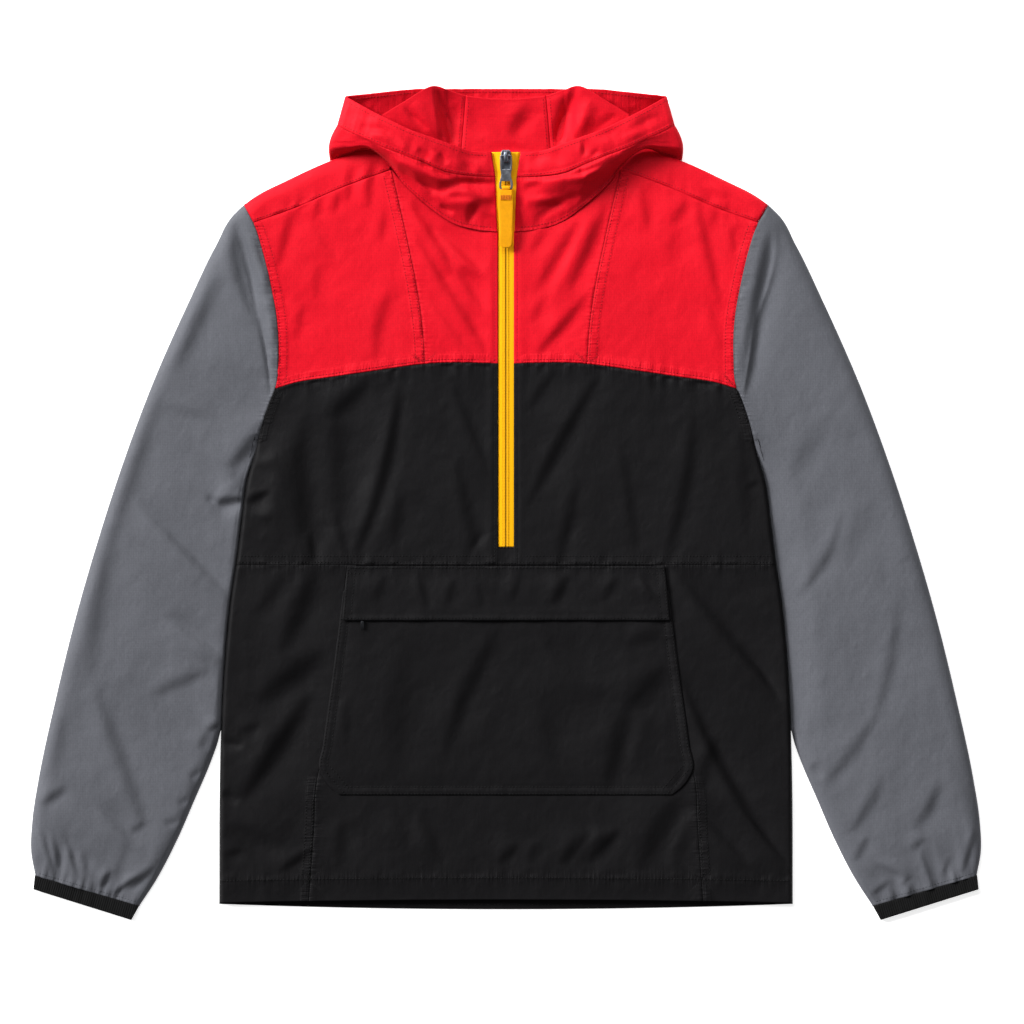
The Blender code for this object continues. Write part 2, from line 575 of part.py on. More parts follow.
def make_pocket(finish):
    """The pocket that lies on the lower front, and the flap over its opening."""
    step = WALL + LAYER_GAP
    rows = np.concatenate([[0.0, 4.0, 24.0], np.linspace(47.0, POCKET_OPEN_Y - POCKET_Y, 9)])
    s, y = np.meshgrid(np.linspace(-1, 1, 16), POCKET_Y + rows)
    x = s * pocket_side(y)
    cloth("kangaroo_pocket", draped(x, y, 1, lambda a, b: front_top(a, b) + step), finish)
    s, t = np.meshgrid(np.linspace(-1, 1, 16), np.linspace(0, 1, 5))
    y = WAIST_Y - SEAM - 0.6 + (FLAP_Y - WAIST_Y) * t
    x = s * (FLAP_TOP + (FLAP_BOTTOM - FLAP_TOP) * t)
    rise = smooth_step((POCKET_OPEN_Y + 22.0 - y) / 20.0)
    grid = draped(x, y, 1, lambda a, b: front_top(a, b) + step + step * rise)
    cloth("pocket_flap", grid, finish)


# ================================================================ back of the body
UNDER_STEPS = (12.0, 3.0, 1.1, 0.3, 0.0)  # as ROLL_STEPS, for the sharper edges underneath


def make_back_lower(finish):
    """Black back from the armholes down to the hem, a little longer than the front."""
    across = toward_edge(270.0, 5, UNDER_STEPS)
    s, t = np.meshgrid(np.concatenate([-across[:0:-1], across]), np.linspace(0, 1, 13))
    x = s * HEM_HALF
    for _ in range(4):
        y = back_hem(x) + (YOKE_SIDE_Y - SEAM - back_hem(x)) * t
        x = s * side_edge(y)
    cloth("back_lower", draped(x, y, 1, under_face), finish, facing=(0, 0, -1),
          level=level_at_side(y, [0, -1]))


def make_back_yoke(finish):
    """Red back yoke, brought over the shoulders to the front."""
    fold = through((NECK_SIDE, (140.0, 355.2), (176.0, 342.0), (220.5, 322.0),
                    (251.5, 306.0), (outer_edge(SHOULDER_TIP_Y), SHOULDER_TIP_Y)))
    wing, nape = np.linspace(0, 1, 8), np.linspace(0, 1, 7)
    wing_x, wing_y = fold(wing)
    nape_x = NECK_SIDE[0] * nape
    nape_y = NAPE_Y + (NECK_SIDE[1] - NAPE_Y) * nape ** 2.2
    half_x = np.concatenate([nape_x, wing_x[1:]])
    half_y = np.concatenate([nape_y, wing_y[1:]])
    top_x = np.concatenate([-half_x[:0:-1], half_x])
    top_y = np.concatenate([half_y[:0:-1], half_y])
    low_y = YOKE_SIDE_Y + SEAM
    low_x = top_x / top_x.max() * side_edge(low_y)
    t = np.concatenate([np.linspace(0, 0.94, 8), [0.985, 0.995, 1.0]])[:, None]
    y = low_y + (top_y - low_y) * t
    x = low_x + (top_x - low_x) * t
    at_side = np.abs(low_x) == np.abs(low_x).max()
    x = np.where(at_side, np.sign(low_x) * side_edge(y), x)
    under = draped(x, y, 1, under_face)
    seam = through(SHOULDER_SEAM)(wing)
    front_x = np.concatenate([nape_x, seam[0][1:]])
    front_y = np.concatenate([nape_y - 5.0, seam[1][1:]])
    front_x[len(nape_x) - 1], front_y[len(nape_x) - 1] = NECK_CORNER[0] + SEAM, NECK_CORNER[1] + 1
    front_x = np.concatenate([-front_x[:0:-1], front_x])
    front_y = np.concatenate([front_y[:0:-1], front_y]) + SEAM
    t = np.array([0.0, 0.03, 0.11, 0.27, 0.5, 0.75, 1.0])[:, None]
    x = top_x + (front_x - top_x) * t
    y = top_y + (front_y - top_y) * t
    x = np.where(at_side, np.sign(top_x) * side_edge(y), x)
    over = draped(x, y, 1, front_top)
    grid = np.concatenate([under, over])
    keep = np.ones((grid.shape[0] - 1, grid.shape[1] - 1), bool)
    centre = grid.shape[1] // 2
    reach = len(nape_x) - 1
    keep[len(under) - 1:, centre - reach:centre + reach] = False
    out_under, out_over = away(under, DOWN), away(over, UP)
    # on the shoulder's fold line both walls look straight out, away from the body
    wings = np.abs(top_x) >= NECK_SIDE[0] - 1e-6
    for fold_line in (out_under[-1], out_over[0]):
        fold_line[wings, 2] = 0.0
        fold_line /= np.linalg.norm(fold_line, axis=1, keepdims=True)
    out_under[-1][wings] = out_over[0][wings]
    inner = grid - np.concatenate([out_under, out_over]) * WALL
    solid("back_yoke", grid, inner, finish, keep=keep)


# ================================================================ sleeves
def sleeve_ring(across_top, across_under, along, inner, outer, start, end, side, top, under):
    """Rings round a flat tube: over its upper face and back along its lower face."""
    x, y = coons(start, end, inner, outer, across_top, along)
    over = draped(x, y, side, top)
    x, y = coons(start, end, inner, outer, across_under[::-1], along)
    return np.concatenate([over, draped(x, y, side, under)], axis=1)


def place_on(line, x, y):
    """Where a point lies beside a straight line: its share along it, 0..1, and the line's length."""
    (x0, y0), (x1, y1) = line
    run_x, run_y = x1 - x0, y1 - y0
    length = math.hypot(run_x, run_y)
    return ((x - x0) * run_x + (y - y0) * run_y) / length ** 2, length


def gather(x, y):
    """Height of the pleats that the cuff draws into the sleeve, fading up the sleeve."""
    along, length = place_on(SLEEVE_END, np.abs(x), y)
    (x0, y0), (x1, y1) = SLEEVE_END
    above = (y - (y0 + (y1 - y0) * along)) * (x1 - x0) / length
    fade = np.clip(1 - above / GATHER_REACH, 0, 1) ** 1.6
    wave = np.sin(math.pi * GATHERS * along + 0.9 * np.sin(5 * along) + np.sign(x))
    return GATHER_HEIGHT * fade * wave


def cuff_half(x, y):
    """Half the cuff's thickness, rounded at both ends."""
    along, length = place_on(CUFF_TOP, np.abs(x), y)
    far = np.maximum(np.minimum(along, 1 - along) * length, 0)
    thin = 0.15
    return thin + (CUFF_HALF - thin) * rolled(far + 0.02, CUFF_ROLL)


def make_sleeves(finish, cuff_finish):
    """Set-in sleeves, lying flat beside the body, and their elastic cuffs."""
    across_top = both_ends(130.0, 5, ROLL_STEPS)
    across_under = both_ends(130.0, 2, UNDER_STEPS)
    along = np.concatenate([np.linspace(0, 0.88, 13), [0.92, 0.96, 1.0]])
    tip_y = SHOULDER_TIP_Y - SLEEVE_GAP
    across_cuff = both_ends(106.0, 7, (4.0, 1.2, 0.0))
    for word, side in SIDES:
        grid = sleeve_ring(
            across_top, across_under, along,
            along_y(sleeve_inner, UNDERARM_Y, SLEEVE_END[0][1]),
            along_y(outer_edge, tip_y, SLEEVE_END[1][1]),
            along_y(side_edge, UNDERARM_Y, tip_y, SLEEVE_GAP),
            straight(*SLEEVE_END), side,
            lambda a, b: sleeve_top(a, b, gather(a, b)), sleeve_under)
        cloth("sleeve_" + word, grid, finish, ring=True)
        grid = sleeve_ring(
            across_cuff, across_cuff, np.array([0.0, 0.35, 0.7, 1.0]),
            straight(CUFF_TOP[0], CUFF_END[0]), straight(CUFF_TOP[1], CUFF_END[1]),
            straight(*CUFF_TOP), straight(*CUFF_END), side,
            lambda a, b: CUFF_MID + cuff_half(a, b), lambda a, b: CUFF_MID - cuff_half(a, b))
        cloth("cuff_" + word, grid, cuff_finish, ring=True)


# ================================================================ hood
def resampled(rows, columns, places):
    """The columns of a table, read smoothly at places counted in rows."""
    table = np.array(rows, float)
    index = np.arange(len(rows), dtype=float)
    return {name: smooth_line(np.stack([index, table[:, k]], axis=1))(places)
            for k, name in enumerate(columns)}


def arch(low, middle, high, t):
    """The parabola through low at t = 0, middle at 0.5 and high at 1."""
    return low * (1 - t) * (1 - 2 * t) + 4 * middle * t * (1 - t) + high * t * (2 * t - 1)


def outer_hood(side):
    """Grids of the hood's outer side, from the neck seam up, and of the band along its face."""
    places = np.concatenate([np.linspace(0, 7, 13), [7.5, 8.0, 8.4, 9.0]])
    row = resampled(HOOD_STATIONS, HOOD_COLUMNS, places)
    size = np.hypot(row["seam_x"] - row["low_x"], row["seam_y"] - row["low_y"])
    t = np.linspace(0.0, 1.0, 7)[:, None] * (1 - SEAM_GAP / np.maximum(size, 5))
    lower = np.stack([side * (row["low_x"] + (row["seam_x"] - row["low_x"]) * t),
                      row["low_y"] + (row["seam_y"] - row["low_y"]) * t,
                      arch(row["low_z"], row["belly_z"], row["seam_z"], t)], -1)
    t = np.linspace(0, 1, 4)[:, None]
    plump = 4 * BAND_PLUMP * t * (1 - t)
    band = np.stack([side * (row["seam_x"] + (row["rim_x"] - row["seam_x"]) * t),
                     row["seam_y"] + (row["rim_y"] - row["seam_y"]) * t,
                     row["seam_z"] + (row["rim_z"] - row["seam_z"]) * t + plump], -1)
    return lower, band


def inner_hood(places, side):
    """Grid of the hood's inside, from the nape seam to the fold, at places along the nape."""
    row = resampled(INSIDE_STATIONS, INSIDE_COLUMNS, places)
    t = np.linspace(0, 1, 7)[:, None]
    x = row["nape_x"] + (row["fold_x"] - row["nape_x"]) * t
    y = row["nape_y"] + (row["fold_y"] - row["nape_y"]) * t
    z = (row["nape_z"] * (1 - t) * (1 - 3 * t) * (1 - 1.5 * t)
         + 13.5 * row["low_z"] * t * (1 - t) * (2 / 3 - t)
         + 13.5 * row["mid_z"] * t * (t - 1 / 3) * (1 - t)
         + row["fold_z"] * 4.5 * t * (t - 1 / 3) * (t - 2 / 3))
    return np.stack([side * x, y, z], -1)


def make_hood(finish):
    """The hood: its outer sides and front band, its inside, and the band at its back edge."""
    for word, side in SIDES:
        lower, band = outer_hood(side)
        out_lower, out_band = away(lower, UP), away(band, UP)
        shared = out_lower[-1] + out_band[0]
        shared /= np.linalg.norm(shared, axis=1, keepdims=True)
        out_lower[-1] = out_band[0] = shared
        solid("hood_side_" + word, lower, lower - out_lower * WALL, finish)
        solid("hood_band_" + word, band, band - out_band * WALL, finish)
        cloth("hood_inner_side_" + word, inner_hood(np.linspace(TWIN_SEAM + 0.02, 6, 11), side),
              finish)
    half = np.linspace(0, TWIN_SEAM, 7)
    centre = np.concatenate([inner_hood(half[::-1], -1), inner_hood(half, 1)[:, 1:]], axis=1)
    cloth("hood_inner_centre", centre, finish)
    row = resampled(BACK_HEM_STATIONS, BACK_HEM_COLUMNS, np.linspace(0, 5, 11))
    t = np.array([0.0, 0.5, 1.0])[:, None]
    half = np.stack([row["low_x"] + (row["top_x"] - row["low_x"]) * t,
                     row["low_y"] + (row["top_y"] - row["low_y"]) * t,
                     row["low_z"] + (row["top_z"] - row["low_z"]) * t], -1)
    full = np.concatenate([half[:, :0:-1] * np.array([-1, 1, 1]), half], axis=1)
    cloth("hood_back_band", full, finish)


def make_crown(finish):
    """The folded crown of the hood, flat on the table under the back."""
    t = np.array([0.0, 0.01, 0.04, 0.1, 0.24, 0.42, 0.6, 0.78, 0.92, 0.98, 0.995, 1.0])
    y = CROWN_HALF[0][0] + (CROWN_HALF[-1][0] - CROWN_HALF[0][0]) * t
    s = np.concatenate([[-1, -0.99, -0.96], np.linspace(-0.88, 0.88, 7), [0.96, 0.99, 1]])
    s, y = np.meshgrid(s, y)
    x = s * crown_half(y)
    ends = np.minimum(y - CROWN_HALF[0][0], CROWN_HALF[-1][0] - y)
    near = np.minimum(crown_half(y) * (1 - np.abs(s)), ends)
    half = CROWN_THICK / 2 * (0.1 + 0.9 * rolled(np.maximum(near, 0), 6.0))
    middle = CROWN_THICK / 2
    solid("hood_crown", np.stack([x, y, middle + half], -1), np.stack([x, y, middle - half], -1),
          finish)


# ================================================================ zip
def zip_height(y):
    """Height of the front at the zip, on the body and then up the hood's front."""
    first = HOOD_STATIONS[0]
    t = (y - first[1]) / (first[5] - first[1])
    standing = arch(first[2], first[3], first[6], np.clip(t, 0, 1))
    upper = first[6] + (first[9] - first[6]) * np.clip((y - first[5]) / 25.0, 0, 1)
    standing = np.where(y > first[5], upper, standing)
    return np.where(y < first[1], front_top(np.zeros(np.shape(y)), y), standing)


def make_zip(finish):
    """The closed zip, tapes and coil in one."""
    y = np.concatenate([[ZIP_END_Y, 0, 50, 100, 128, 145, 158, 190, 230, 262, 270],
                        np.linspace(273, ZIP_TOP_Y, 10)])
    section = np.array([(TAPE_HALF, 1.7), (7.0, 1.7), (COIL_HALF + 0.5, 1.5), (COIL_HALF, 0.4)])
    half, depth = section.T
    s, rows = np.meshgrid(np.concatenate([-half, half[::-1]]), y)
    depth = np.concatenate([depth, depth[::-1]])[None, :, None]
    grid = np.stack([s, rows, zip_height(rows)], -1)
    out = away(grid, UP)
    solid("zip_chain", grid - out * depth, grid - out * 2.5, finish)


def cut_or_join(base, tool, operation):
    """Applies one solid to another and leaves the first."""
    step = base.modifiers.new("step", "BOOLEAN")
    step.operation = operation
    step.solver = "EXACT"
    step.object = tool
    tool.hide_render = True
    tool.display_type = "WIRE"


def make_slider(finish):
    """The slider's body, and the bridge over it that the pull hangs in."""
    place, half = np.array(SLIDER_ROWS).T
    s, y = np.meshgrid([-1.0, 1.0], place)
    x = s * half[:, None]
    z = zip_height(y)
    body = solid("zip_slider", np.stack([x, y, z + SLIDER_TOP], -1),
                 np.stack([x, y, z + SEAM_GAP], -1), finish)
    y0, z0 = PULL_AXIS
    s, k = np.meshgrid([-BRIDGE_HALF, BRIDGE_HALF], range(len(BRIDGE_OUTER)), indexing="ij")
    outer, inner = np.array(BRIDGE_OUTER)[k], np.array(BRIDGE_INNER)[k]
    bridge = solid("bridge_tool", np.stack([s, y0 + outer[..., 0], z0 + outer[..., 1]], -1),
                   np.stack([s, y0 + inner[..., 0], z0 + inner[..., 1]], -1), finish)
    cut_or_join(body, bridge, "UNION")


def on_pull(x, reach, height):
    """A point on the pull: reach from the axis along it and height above its middle."""
    y0, z0 = PULL_AXIS
    turn = math.atan(PULL_SLOPE)
    return np.stack([x, y0 - reach * math.cos(turn) - height * math.sin(turn),
                     z0 - reach * math.sin(turn) + height * math.cos(turn)], axis=-1)


def make_pull(metal_finish, webbing_finish):
    """Metal pull with two windows, and the webbing tab looped round its end bar."""
    s, reach = np.meshgrid(PULL_COLUMNS, PULL_ROWS)
    keep = np.ones((len(PULL_ROWS) - 1, len(PULL_COLUMNS) - 1), bool)
    keep[1, 1] = keep[3, 1] = False
    half = np.full(s.shape, PULL_HALF)
    pull = solid("zip_pull", on_pull(s, reach, half), on_pull(s, reach, -half), metal_finish,
                 keep=keep)
    place, half, width = np.array(TAB_ROWS).T
    s, reach = np.meshgrid([-1.0, 0.0, 1.0], place)
    half = half[:, None] + 0 * s
    x = s * width[:, None]
    tab = solid("zip_pull_tab", on_pull(x, reach, half), on_pull(x, reach, -half), webbing_finish)
    slot_half, first, last, high = TAB_SLOT
    s, reach = np.meshgrid([-slot_half, slot_half], [first, last])
    high = np.full(s.shape, high)
    slot = solid("slot_tool", on_pull(s, reach, high), on_pull(s, reach, -high), webbing_finish)
    cut_or_join(tab, slot, "DIFFERENCE")
    empty = bpy.data.objects.new("zip_pull_axis", None)
    empty.location = (0, PULL_AXIS[0] * MM, PULL_AXIS[1] * MM)
    bpy.context.scene.collection.objects.link(empty)
    bpy.context.view_layer.update()
    for piece in (pull, tab):
        piece.parent = empty
        piece.matrix_parent_inverse = empty.matrix_world.inverted()


def make_pocket_pull(finish):
    """The end of the pocket zip's pull, which shows below the flap."""
    place, half = np.array(POCKET_PULL_ROWS).T
    s, y = np.meshgrid([-1.0, 1.0], place)
    x = POCKET_PULL_X + s * half[:, None]
    z = front_top(x, y) + 2 * (WALL + LAYER_GAP)
    solid("pocket_zip_pull", np.stack([x, y, z + 1.2], -1), np.stack([x, y, z - 0.6], -1), finish)


# ================================================================ the garment
def main():
    for old in list(bpy.data.objects):
        bpy.data.objects.remove(old, do_unlink=True)
    red = material("red_nylon", RED, 0.55)
    black = material("black_nylon", BLACK, 0.6)
    grey = material("grey_nylon", GREY, 0.6)
    elastic = material("black_elastic", RIB_BLACK, 0.85)
    chain = material("yellow_zip", YELLOW, 0.6)
    metal = material("gunmetal", GUNMETAL, 0.35, 0.9)
    webbing = material("yellow_webbing", YELLOW, 0.7)
    make_chest(black)
    make_yoke(red)
    make_lower_front(black)
    make_pocket(black)
    make_back_lower(black)
    make_back_yoke(red)
    make_sleeves(grey, elastic)
    make_hood(red)
    make_crown(red)
    make_zip(chain)
    make_slider(metal)
    make_pull(metal, webbing)
    make_pocket_pull(metal)


main()
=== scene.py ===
# %% [markdown]
# # Dressing a hooded half-zip anorak that lies flat on a table
#
# The construction, its seams and its sizes are already fixed in a imported model. This lesson dresses
# that model: every stiff panel of the model is replaced by thin creased cloth on the same form, the
# seams get their stitching, and the zip gets its coil, slider and pull. We begin by loading the model.

# %% Load the frame
import json
import math

import bpy
import numpy as np
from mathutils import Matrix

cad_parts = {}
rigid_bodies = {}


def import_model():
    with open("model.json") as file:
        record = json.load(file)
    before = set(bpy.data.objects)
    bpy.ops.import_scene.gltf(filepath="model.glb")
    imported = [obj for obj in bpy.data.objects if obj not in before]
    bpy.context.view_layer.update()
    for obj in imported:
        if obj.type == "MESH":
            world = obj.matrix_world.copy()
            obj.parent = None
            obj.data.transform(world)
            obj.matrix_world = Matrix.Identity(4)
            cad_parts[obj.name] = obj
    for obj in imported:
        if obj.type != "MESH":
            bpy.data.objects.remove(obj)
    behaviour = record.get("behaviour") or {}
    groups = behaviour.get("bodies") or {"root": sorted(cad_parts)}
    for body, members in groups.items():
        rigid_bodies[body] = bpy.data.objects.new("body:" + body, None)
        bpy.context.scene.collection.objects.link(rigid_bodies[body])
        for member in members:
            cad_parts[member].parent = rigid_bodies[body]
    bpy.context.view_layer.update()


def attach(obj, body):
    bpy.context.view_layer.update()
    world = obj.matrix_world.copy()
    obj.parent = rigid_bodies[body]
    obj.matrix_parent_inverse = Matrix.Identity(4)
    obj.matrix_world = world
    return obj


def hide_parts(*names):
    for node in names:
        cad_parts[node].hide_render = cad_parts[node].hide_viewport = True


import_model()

# %% [markdown]
# ## Sizes
#
# A garment is drafted flat, so its outline is a few curves on the table: x runs from cuff to cuff,
# y from hem to hood, z up. Everything is drafted in millimetres, as a maker would, and becomes metres
# only when a mesh is made. Each curve is a short table of places that the pattern needs, and a smooth
# line runs through them. The garment is the same on both sides of the zip but for its folds, so a
# half is enough.

# %% Thicknesses and heights
MM = 0.001
WALL = 0.7            # one layer of cloth, as dressed
FOLD_MID = 1.7        # height of the fold line where front turns into back
GAP = 0.3             # clearance of the model's panels at a seam
LOFT = 4.6            # how far the front rises above the fold line
PUFF = 2.9            # further rise where the hood's crown doesn't lie under it
EDGE_ROLL = 14.0      # width over which the front rises from its edge
UNDER_ROLL = 3.0      # the same on the underside
CROWN_THICK = 3.0     # folded crown of the hood, under the back
LAYER = 1.3           # how far one layer of the model lies above the next
print("the front lies, mm above the table:", FOLD_MID + LOFT, "to", FOLD_MID + LOFT + PUFF)

# %% Places on the pattern
HEM_Y, HEM_DIP = -396.5, 3.2  # front hem at the zip, and how much lower it is at the sides
BACK_HEM_Y, BACK_HEM_RISE = -406.5, 5.3  # back hem, and how much higher it is at the sides
HEM_HALF = 287.0  # half the width of the hems
WAIST_Y = -62.0  # seam between chest and lower front
YOKE_SIDE_Y = 114.0  # where the yoke's lower seam meets the armhole
CHEST_SEAM_HALF = 230.5
PRINCESS_FOOT = 81.0  # where the yoke's princess seam starts on it
UNDERARM_Y = 54.0
NAPE_Y = 344.0
NECK_SIDE = (112.0, 364.0)  # where shoulder line and neckline meet
NECK_CORNER = (114.5, 333.0)  # where neckline, princess seam and shoulder seam meet
SHOULDER_TIP_Y = 298.0  # upper end of the armhole
ZIP_HALF = 7.8  # half the width of zip that shows
ZIP_END_Y, ZIP_TOP_Y = -44.0, 350.0
CUFF_TOP = ((367.0, -403.0), (471.3, -372.4))  # the cuff's edge at the sleeve, inner and outer corner
CUFF_END = ((374.8, -417.0), (472.6, -386.4))
FLAP_TOP, FLAP_BOTTOM, FLAP_Y = 158.5, 163.5, -116.5  # half widths of the flap, its lower edge
POCKET_OPEN_Y, POCKET_LOW_Y = -88.0, -292.0
CUFF_LENGTH, CUFF_SPAN, PLEAT_SPAN = 108.7, 106.0, 105.0  # its edge, its mesh and its pleat pattern
SIDES = (("left", -1), ("right", 1))  # as seen from above
print("zip, mm:", ZIP_TOP_Y - ZIP_END_Y)

# %% Outlines, rows of (y, x)
OUTER_EDGE = (        # shoulder line and outer edge of the sleeve
    (-372, 471.0), (-350, 475.0), (-318, 474.0), (-278, 468.0), (-198, 451.0), (-118, 431.5),
    (-38, 408.5), (42, 382.5), (122, 352.5), (202, 317.0), (258, 290.0), (290, 271.0),
    (306, 251.5), (322, 220.5), (342, 176.0), (364, 112.0))
SIDE_EDGE = (         # side seam, then the armhole
    (-410, 287.0), (-258, 286.0), (-198, 284.0), (-138, 280.0), (-98, 276.0), (-58, 270.0),
    (-18, 265.0), (22, 259.5), (54, 250.0), (82, 243.0), (102, 236.0), (117, 230.0),
    (142, 228.0), (182, 229.0), (222, 236.0), (258, 245.0), (280, 252.5), (298, 262.0))
SLEEVE_INNER = (      # inner edge of the sleeve below the place where it leaves the body
    (-402.5, 366.5), (-378, 350.5), (-338, 329.5), (-298, 312.0), (-258, 295.0), (-238, 288.0),
    (-228, 285.6))
PRINCESS = (          # seam between the centre and side panels of the yoke
    (139, PRINCESS_FOOT), (176, 83.5), (218, 89.5), (262, 98.5), (300, 107.0), (333, 114.5))
LOWER_SEAM = (        # seam between the side and centre panels below the waist
    (-410, 198.0), (-330, 192.0), (-270, 187.5), (-252, 182.5), (-172, 172.0), (-62, 158.5))
POCKET_SIDE = (       # side edge of the pocket, with its slanted lower corner
    (POCKET_LOW_Y, 166.0), (-289, 170.0), (-268, 186.0), (-242, 183.0), (-181, 174.5), (-62, 159.5))
CROWN_HALF = (        # half width of the hood's folded crown
    (165, 66.0), (176, 92.0), (200, 116.0), (245, 136.0), (290, 152.0), (335, 169.0), (356, 173.0),
    (377, 165.0), (394, 157.0), (403, 140.0), (410, 108.0))

# %% Cross seams, rows of (x, y)
CHEST_SEAM = ((0, 139.5), (80, 139.0), (97, 137.0), (135, 131.5), (173, 126.0), (211, 120.0),
              (231, 114.0))
NECKLINE = ((ZIP_HALF, 271.4), (52.0, 278.9), (77.0, 295.4), (101.0, 317.4), NECK_CORNER)
SHOULDER_SEAM = (NECK_CORNER, (147.0, 321.5), (170.0, 312.5), (209.0, 295.5), (252.2, 280.0))
print("shoulder seam's fall, mm:", NECK_CORNER[1] - SHOULDER_SEAM[-1][1])

# %% [markdown]
# ## Curves and steps
#
# Two helpers do most of the drafting. One runs a smooth curve through a table, so that a seam has no
# corners where the table has rows. The other is a soft step from 0 to 1, which starts and ends a
# raised strip or a fold without a kink. Blender could give us curves too, but a formula can be asked
# for whole arrays of places at once, and that is all a panel needs.

# %% Curve helpers
def smooth_line(rows):
    """Cubic pieces through (place, value) rows; the slope at a row comes from its two neighbours."""
    place, value = np.array(rows, float).T
    slope = np.gradient(value, place)

    def at(q):
        q = np.clip(q, place[0], place[-1])
        i = np.clip(np.searchsorted(place, q) - 1, 0, len(place) - 2)
        h = place[i + 1] - place[i]
        t = (q - place[i]) / h
        return (value[i] * (1 + 2 * t) * (1 - t) ** 2 + h * slope[i] * t * (1 - t) ** 2
                + value[i + 1] * t * t * (3 - 2 * t) + h * slope[i + 1] * t * t * (t - 1))
    return at


def soft_step(t):
    """0 below 0, 1 above 1, and 3t^2 - 2t^3 between."""
    t = np.clip(t, 0.0, 1.0)
    return t * t * (3 - 2 * t)


def rolled(distance, width):
    """A quarter ellipse: 0 at an edge, 1 at width from it."""
    t = np.clip(distance / width, 0.0, 1.0)
    return np.sqrt(np.clip(1 - (1 - t) ** 2, 0.0, 1.0))


def bell(distance, width):
    """exp(-(distance / width)^2): 1 at the middle and nothing a few widths away."""
    return np.exp(-(distance / width) ** 2)


# %% Edges of a patch
def join(*parts, axis=0):
    """Arrays one after another."""
    return np.concatenate(parts, axis)


def through(points):
    """A smooth edge through (x, y) points, as a function of 0..1 along its length."""
    x, y = np.array(points, float).T
    place = join([0], np.cumsum(np.hypot(np.diff(x), np.diff(y))))
    place = place / place[-1]
    line_x, line_y = smooth_line(np.stack([place, x], 1)), smooth_line(np.stack([place, y], 1))
    return lambda q: (line_x(q), line_y(q))


def straight(start, end):
    """A straight edge from start to end, as a function of 0..1."""
    return lambda q: (start[0] + (end[0] - start[0]) * q, start[1] + (end[1] - start[1]) * q)


def along_y(line, start, end, shift=0.0):
    """The edge x = line(y) + shift from y = start to y = end."""
    return lambda q: (line(start + (end - start) * q) + shift, start + (end - start) * q)


def along_x(line, start, end):
    """The edge y = line(x) from x = start to x = end."""
    return lambda q: (start + (end - start) * q, line(start + (end - start) * q))


# %% The garment's own curves
outer_edge = smooth_line(OUTER_EDGE)
side_edge = smooth_line(SIDE_EDGE)
sleeve_inner_low = smooth_line(SLEEVE_INNER)
princess = smooth_line(PRINCESS)
lower_seam = smooth_line(LOWER_SEAM)
pocket_side = smooth_line(POCKET_SIDE)
crown_half = smooth_line(CROWN_HALF)
half_chest_seam = smooth_line(CHEST_SEAM)


def chest_seam(x):
    """The seam under the yoke, the same on both sides of the zip."""
    return half_chest_seam(np.abs(x))


def hem(x):
    """The front's lower edge, a parabola."""
    return HEM_Y - HEM_DIP * (x / HEM_HALF) ** 2


def back_hem(x):
    """The back's lower edge, a parabola the other way."""
    return BACK_HEM_Y + BACK_HEM_RISE * (x / HEM_HALF) ** 2


def sleeve_inner(y):
    """Inner edge of the sleeve: beside the body, then away from it."""
    beside = side_edge(y) - 0.35
    return np.where(y < SLEEVE_INNER[-1][0], np.maximum(sleeve_inner_low(y), beside), beside)


print("chest at the underarm, mm:", round(float(2 * side_edge(UNDERARM_Y))))

# %% [markdown]
# ## Soft noise
#
# Nylon never lies quite flat. Small uneven swells come from value noise: random numbers on a coarse
# lattice, read between its points with the soft step. A displacement modifier with a noise texture
# could do this too, but a formula also tells the stitches and the zip how high the cloth lies. The
# same seed always gives the same swells.

# %% Noise helpers
def swells(x, y, size, seed):
    """Value noise in -1..1: random lattice values size apart, blended by the soft step."""
    cells, away = 256, 1000.0
    lattice = np.random.default_rng(seed).uniform(-1, 1, (cells + 1, cells + 1))
    u, v = np.asarray(x) / size + away, np.asarray(y) / size + away
    i, j = np.floor(u).astype(int), np.floor(v).astype(int)
    a, b = soft_step(u - i), soft_step(v - j)
    i, j = i % cells, j % cells
    low = lattice[i, j] * (1 - a) + lattice[i + 1, j] * a
    high = lattice[i, j + 1] * (1 - a) + lattice[i + 1, j + 1] * a
    return low * (1 - b) + high * b


def crumple(x, y, seed):
    """Three sizes of swell, the smaller the lower."""
    return (0.55 * swells(x, y, 46, seed) + 0.34 * swells(x + 0.4 * y, y, 21, seed + 1)
            + 0.17 * swells(x, y - 0.3 * x, 10, seed + 2))
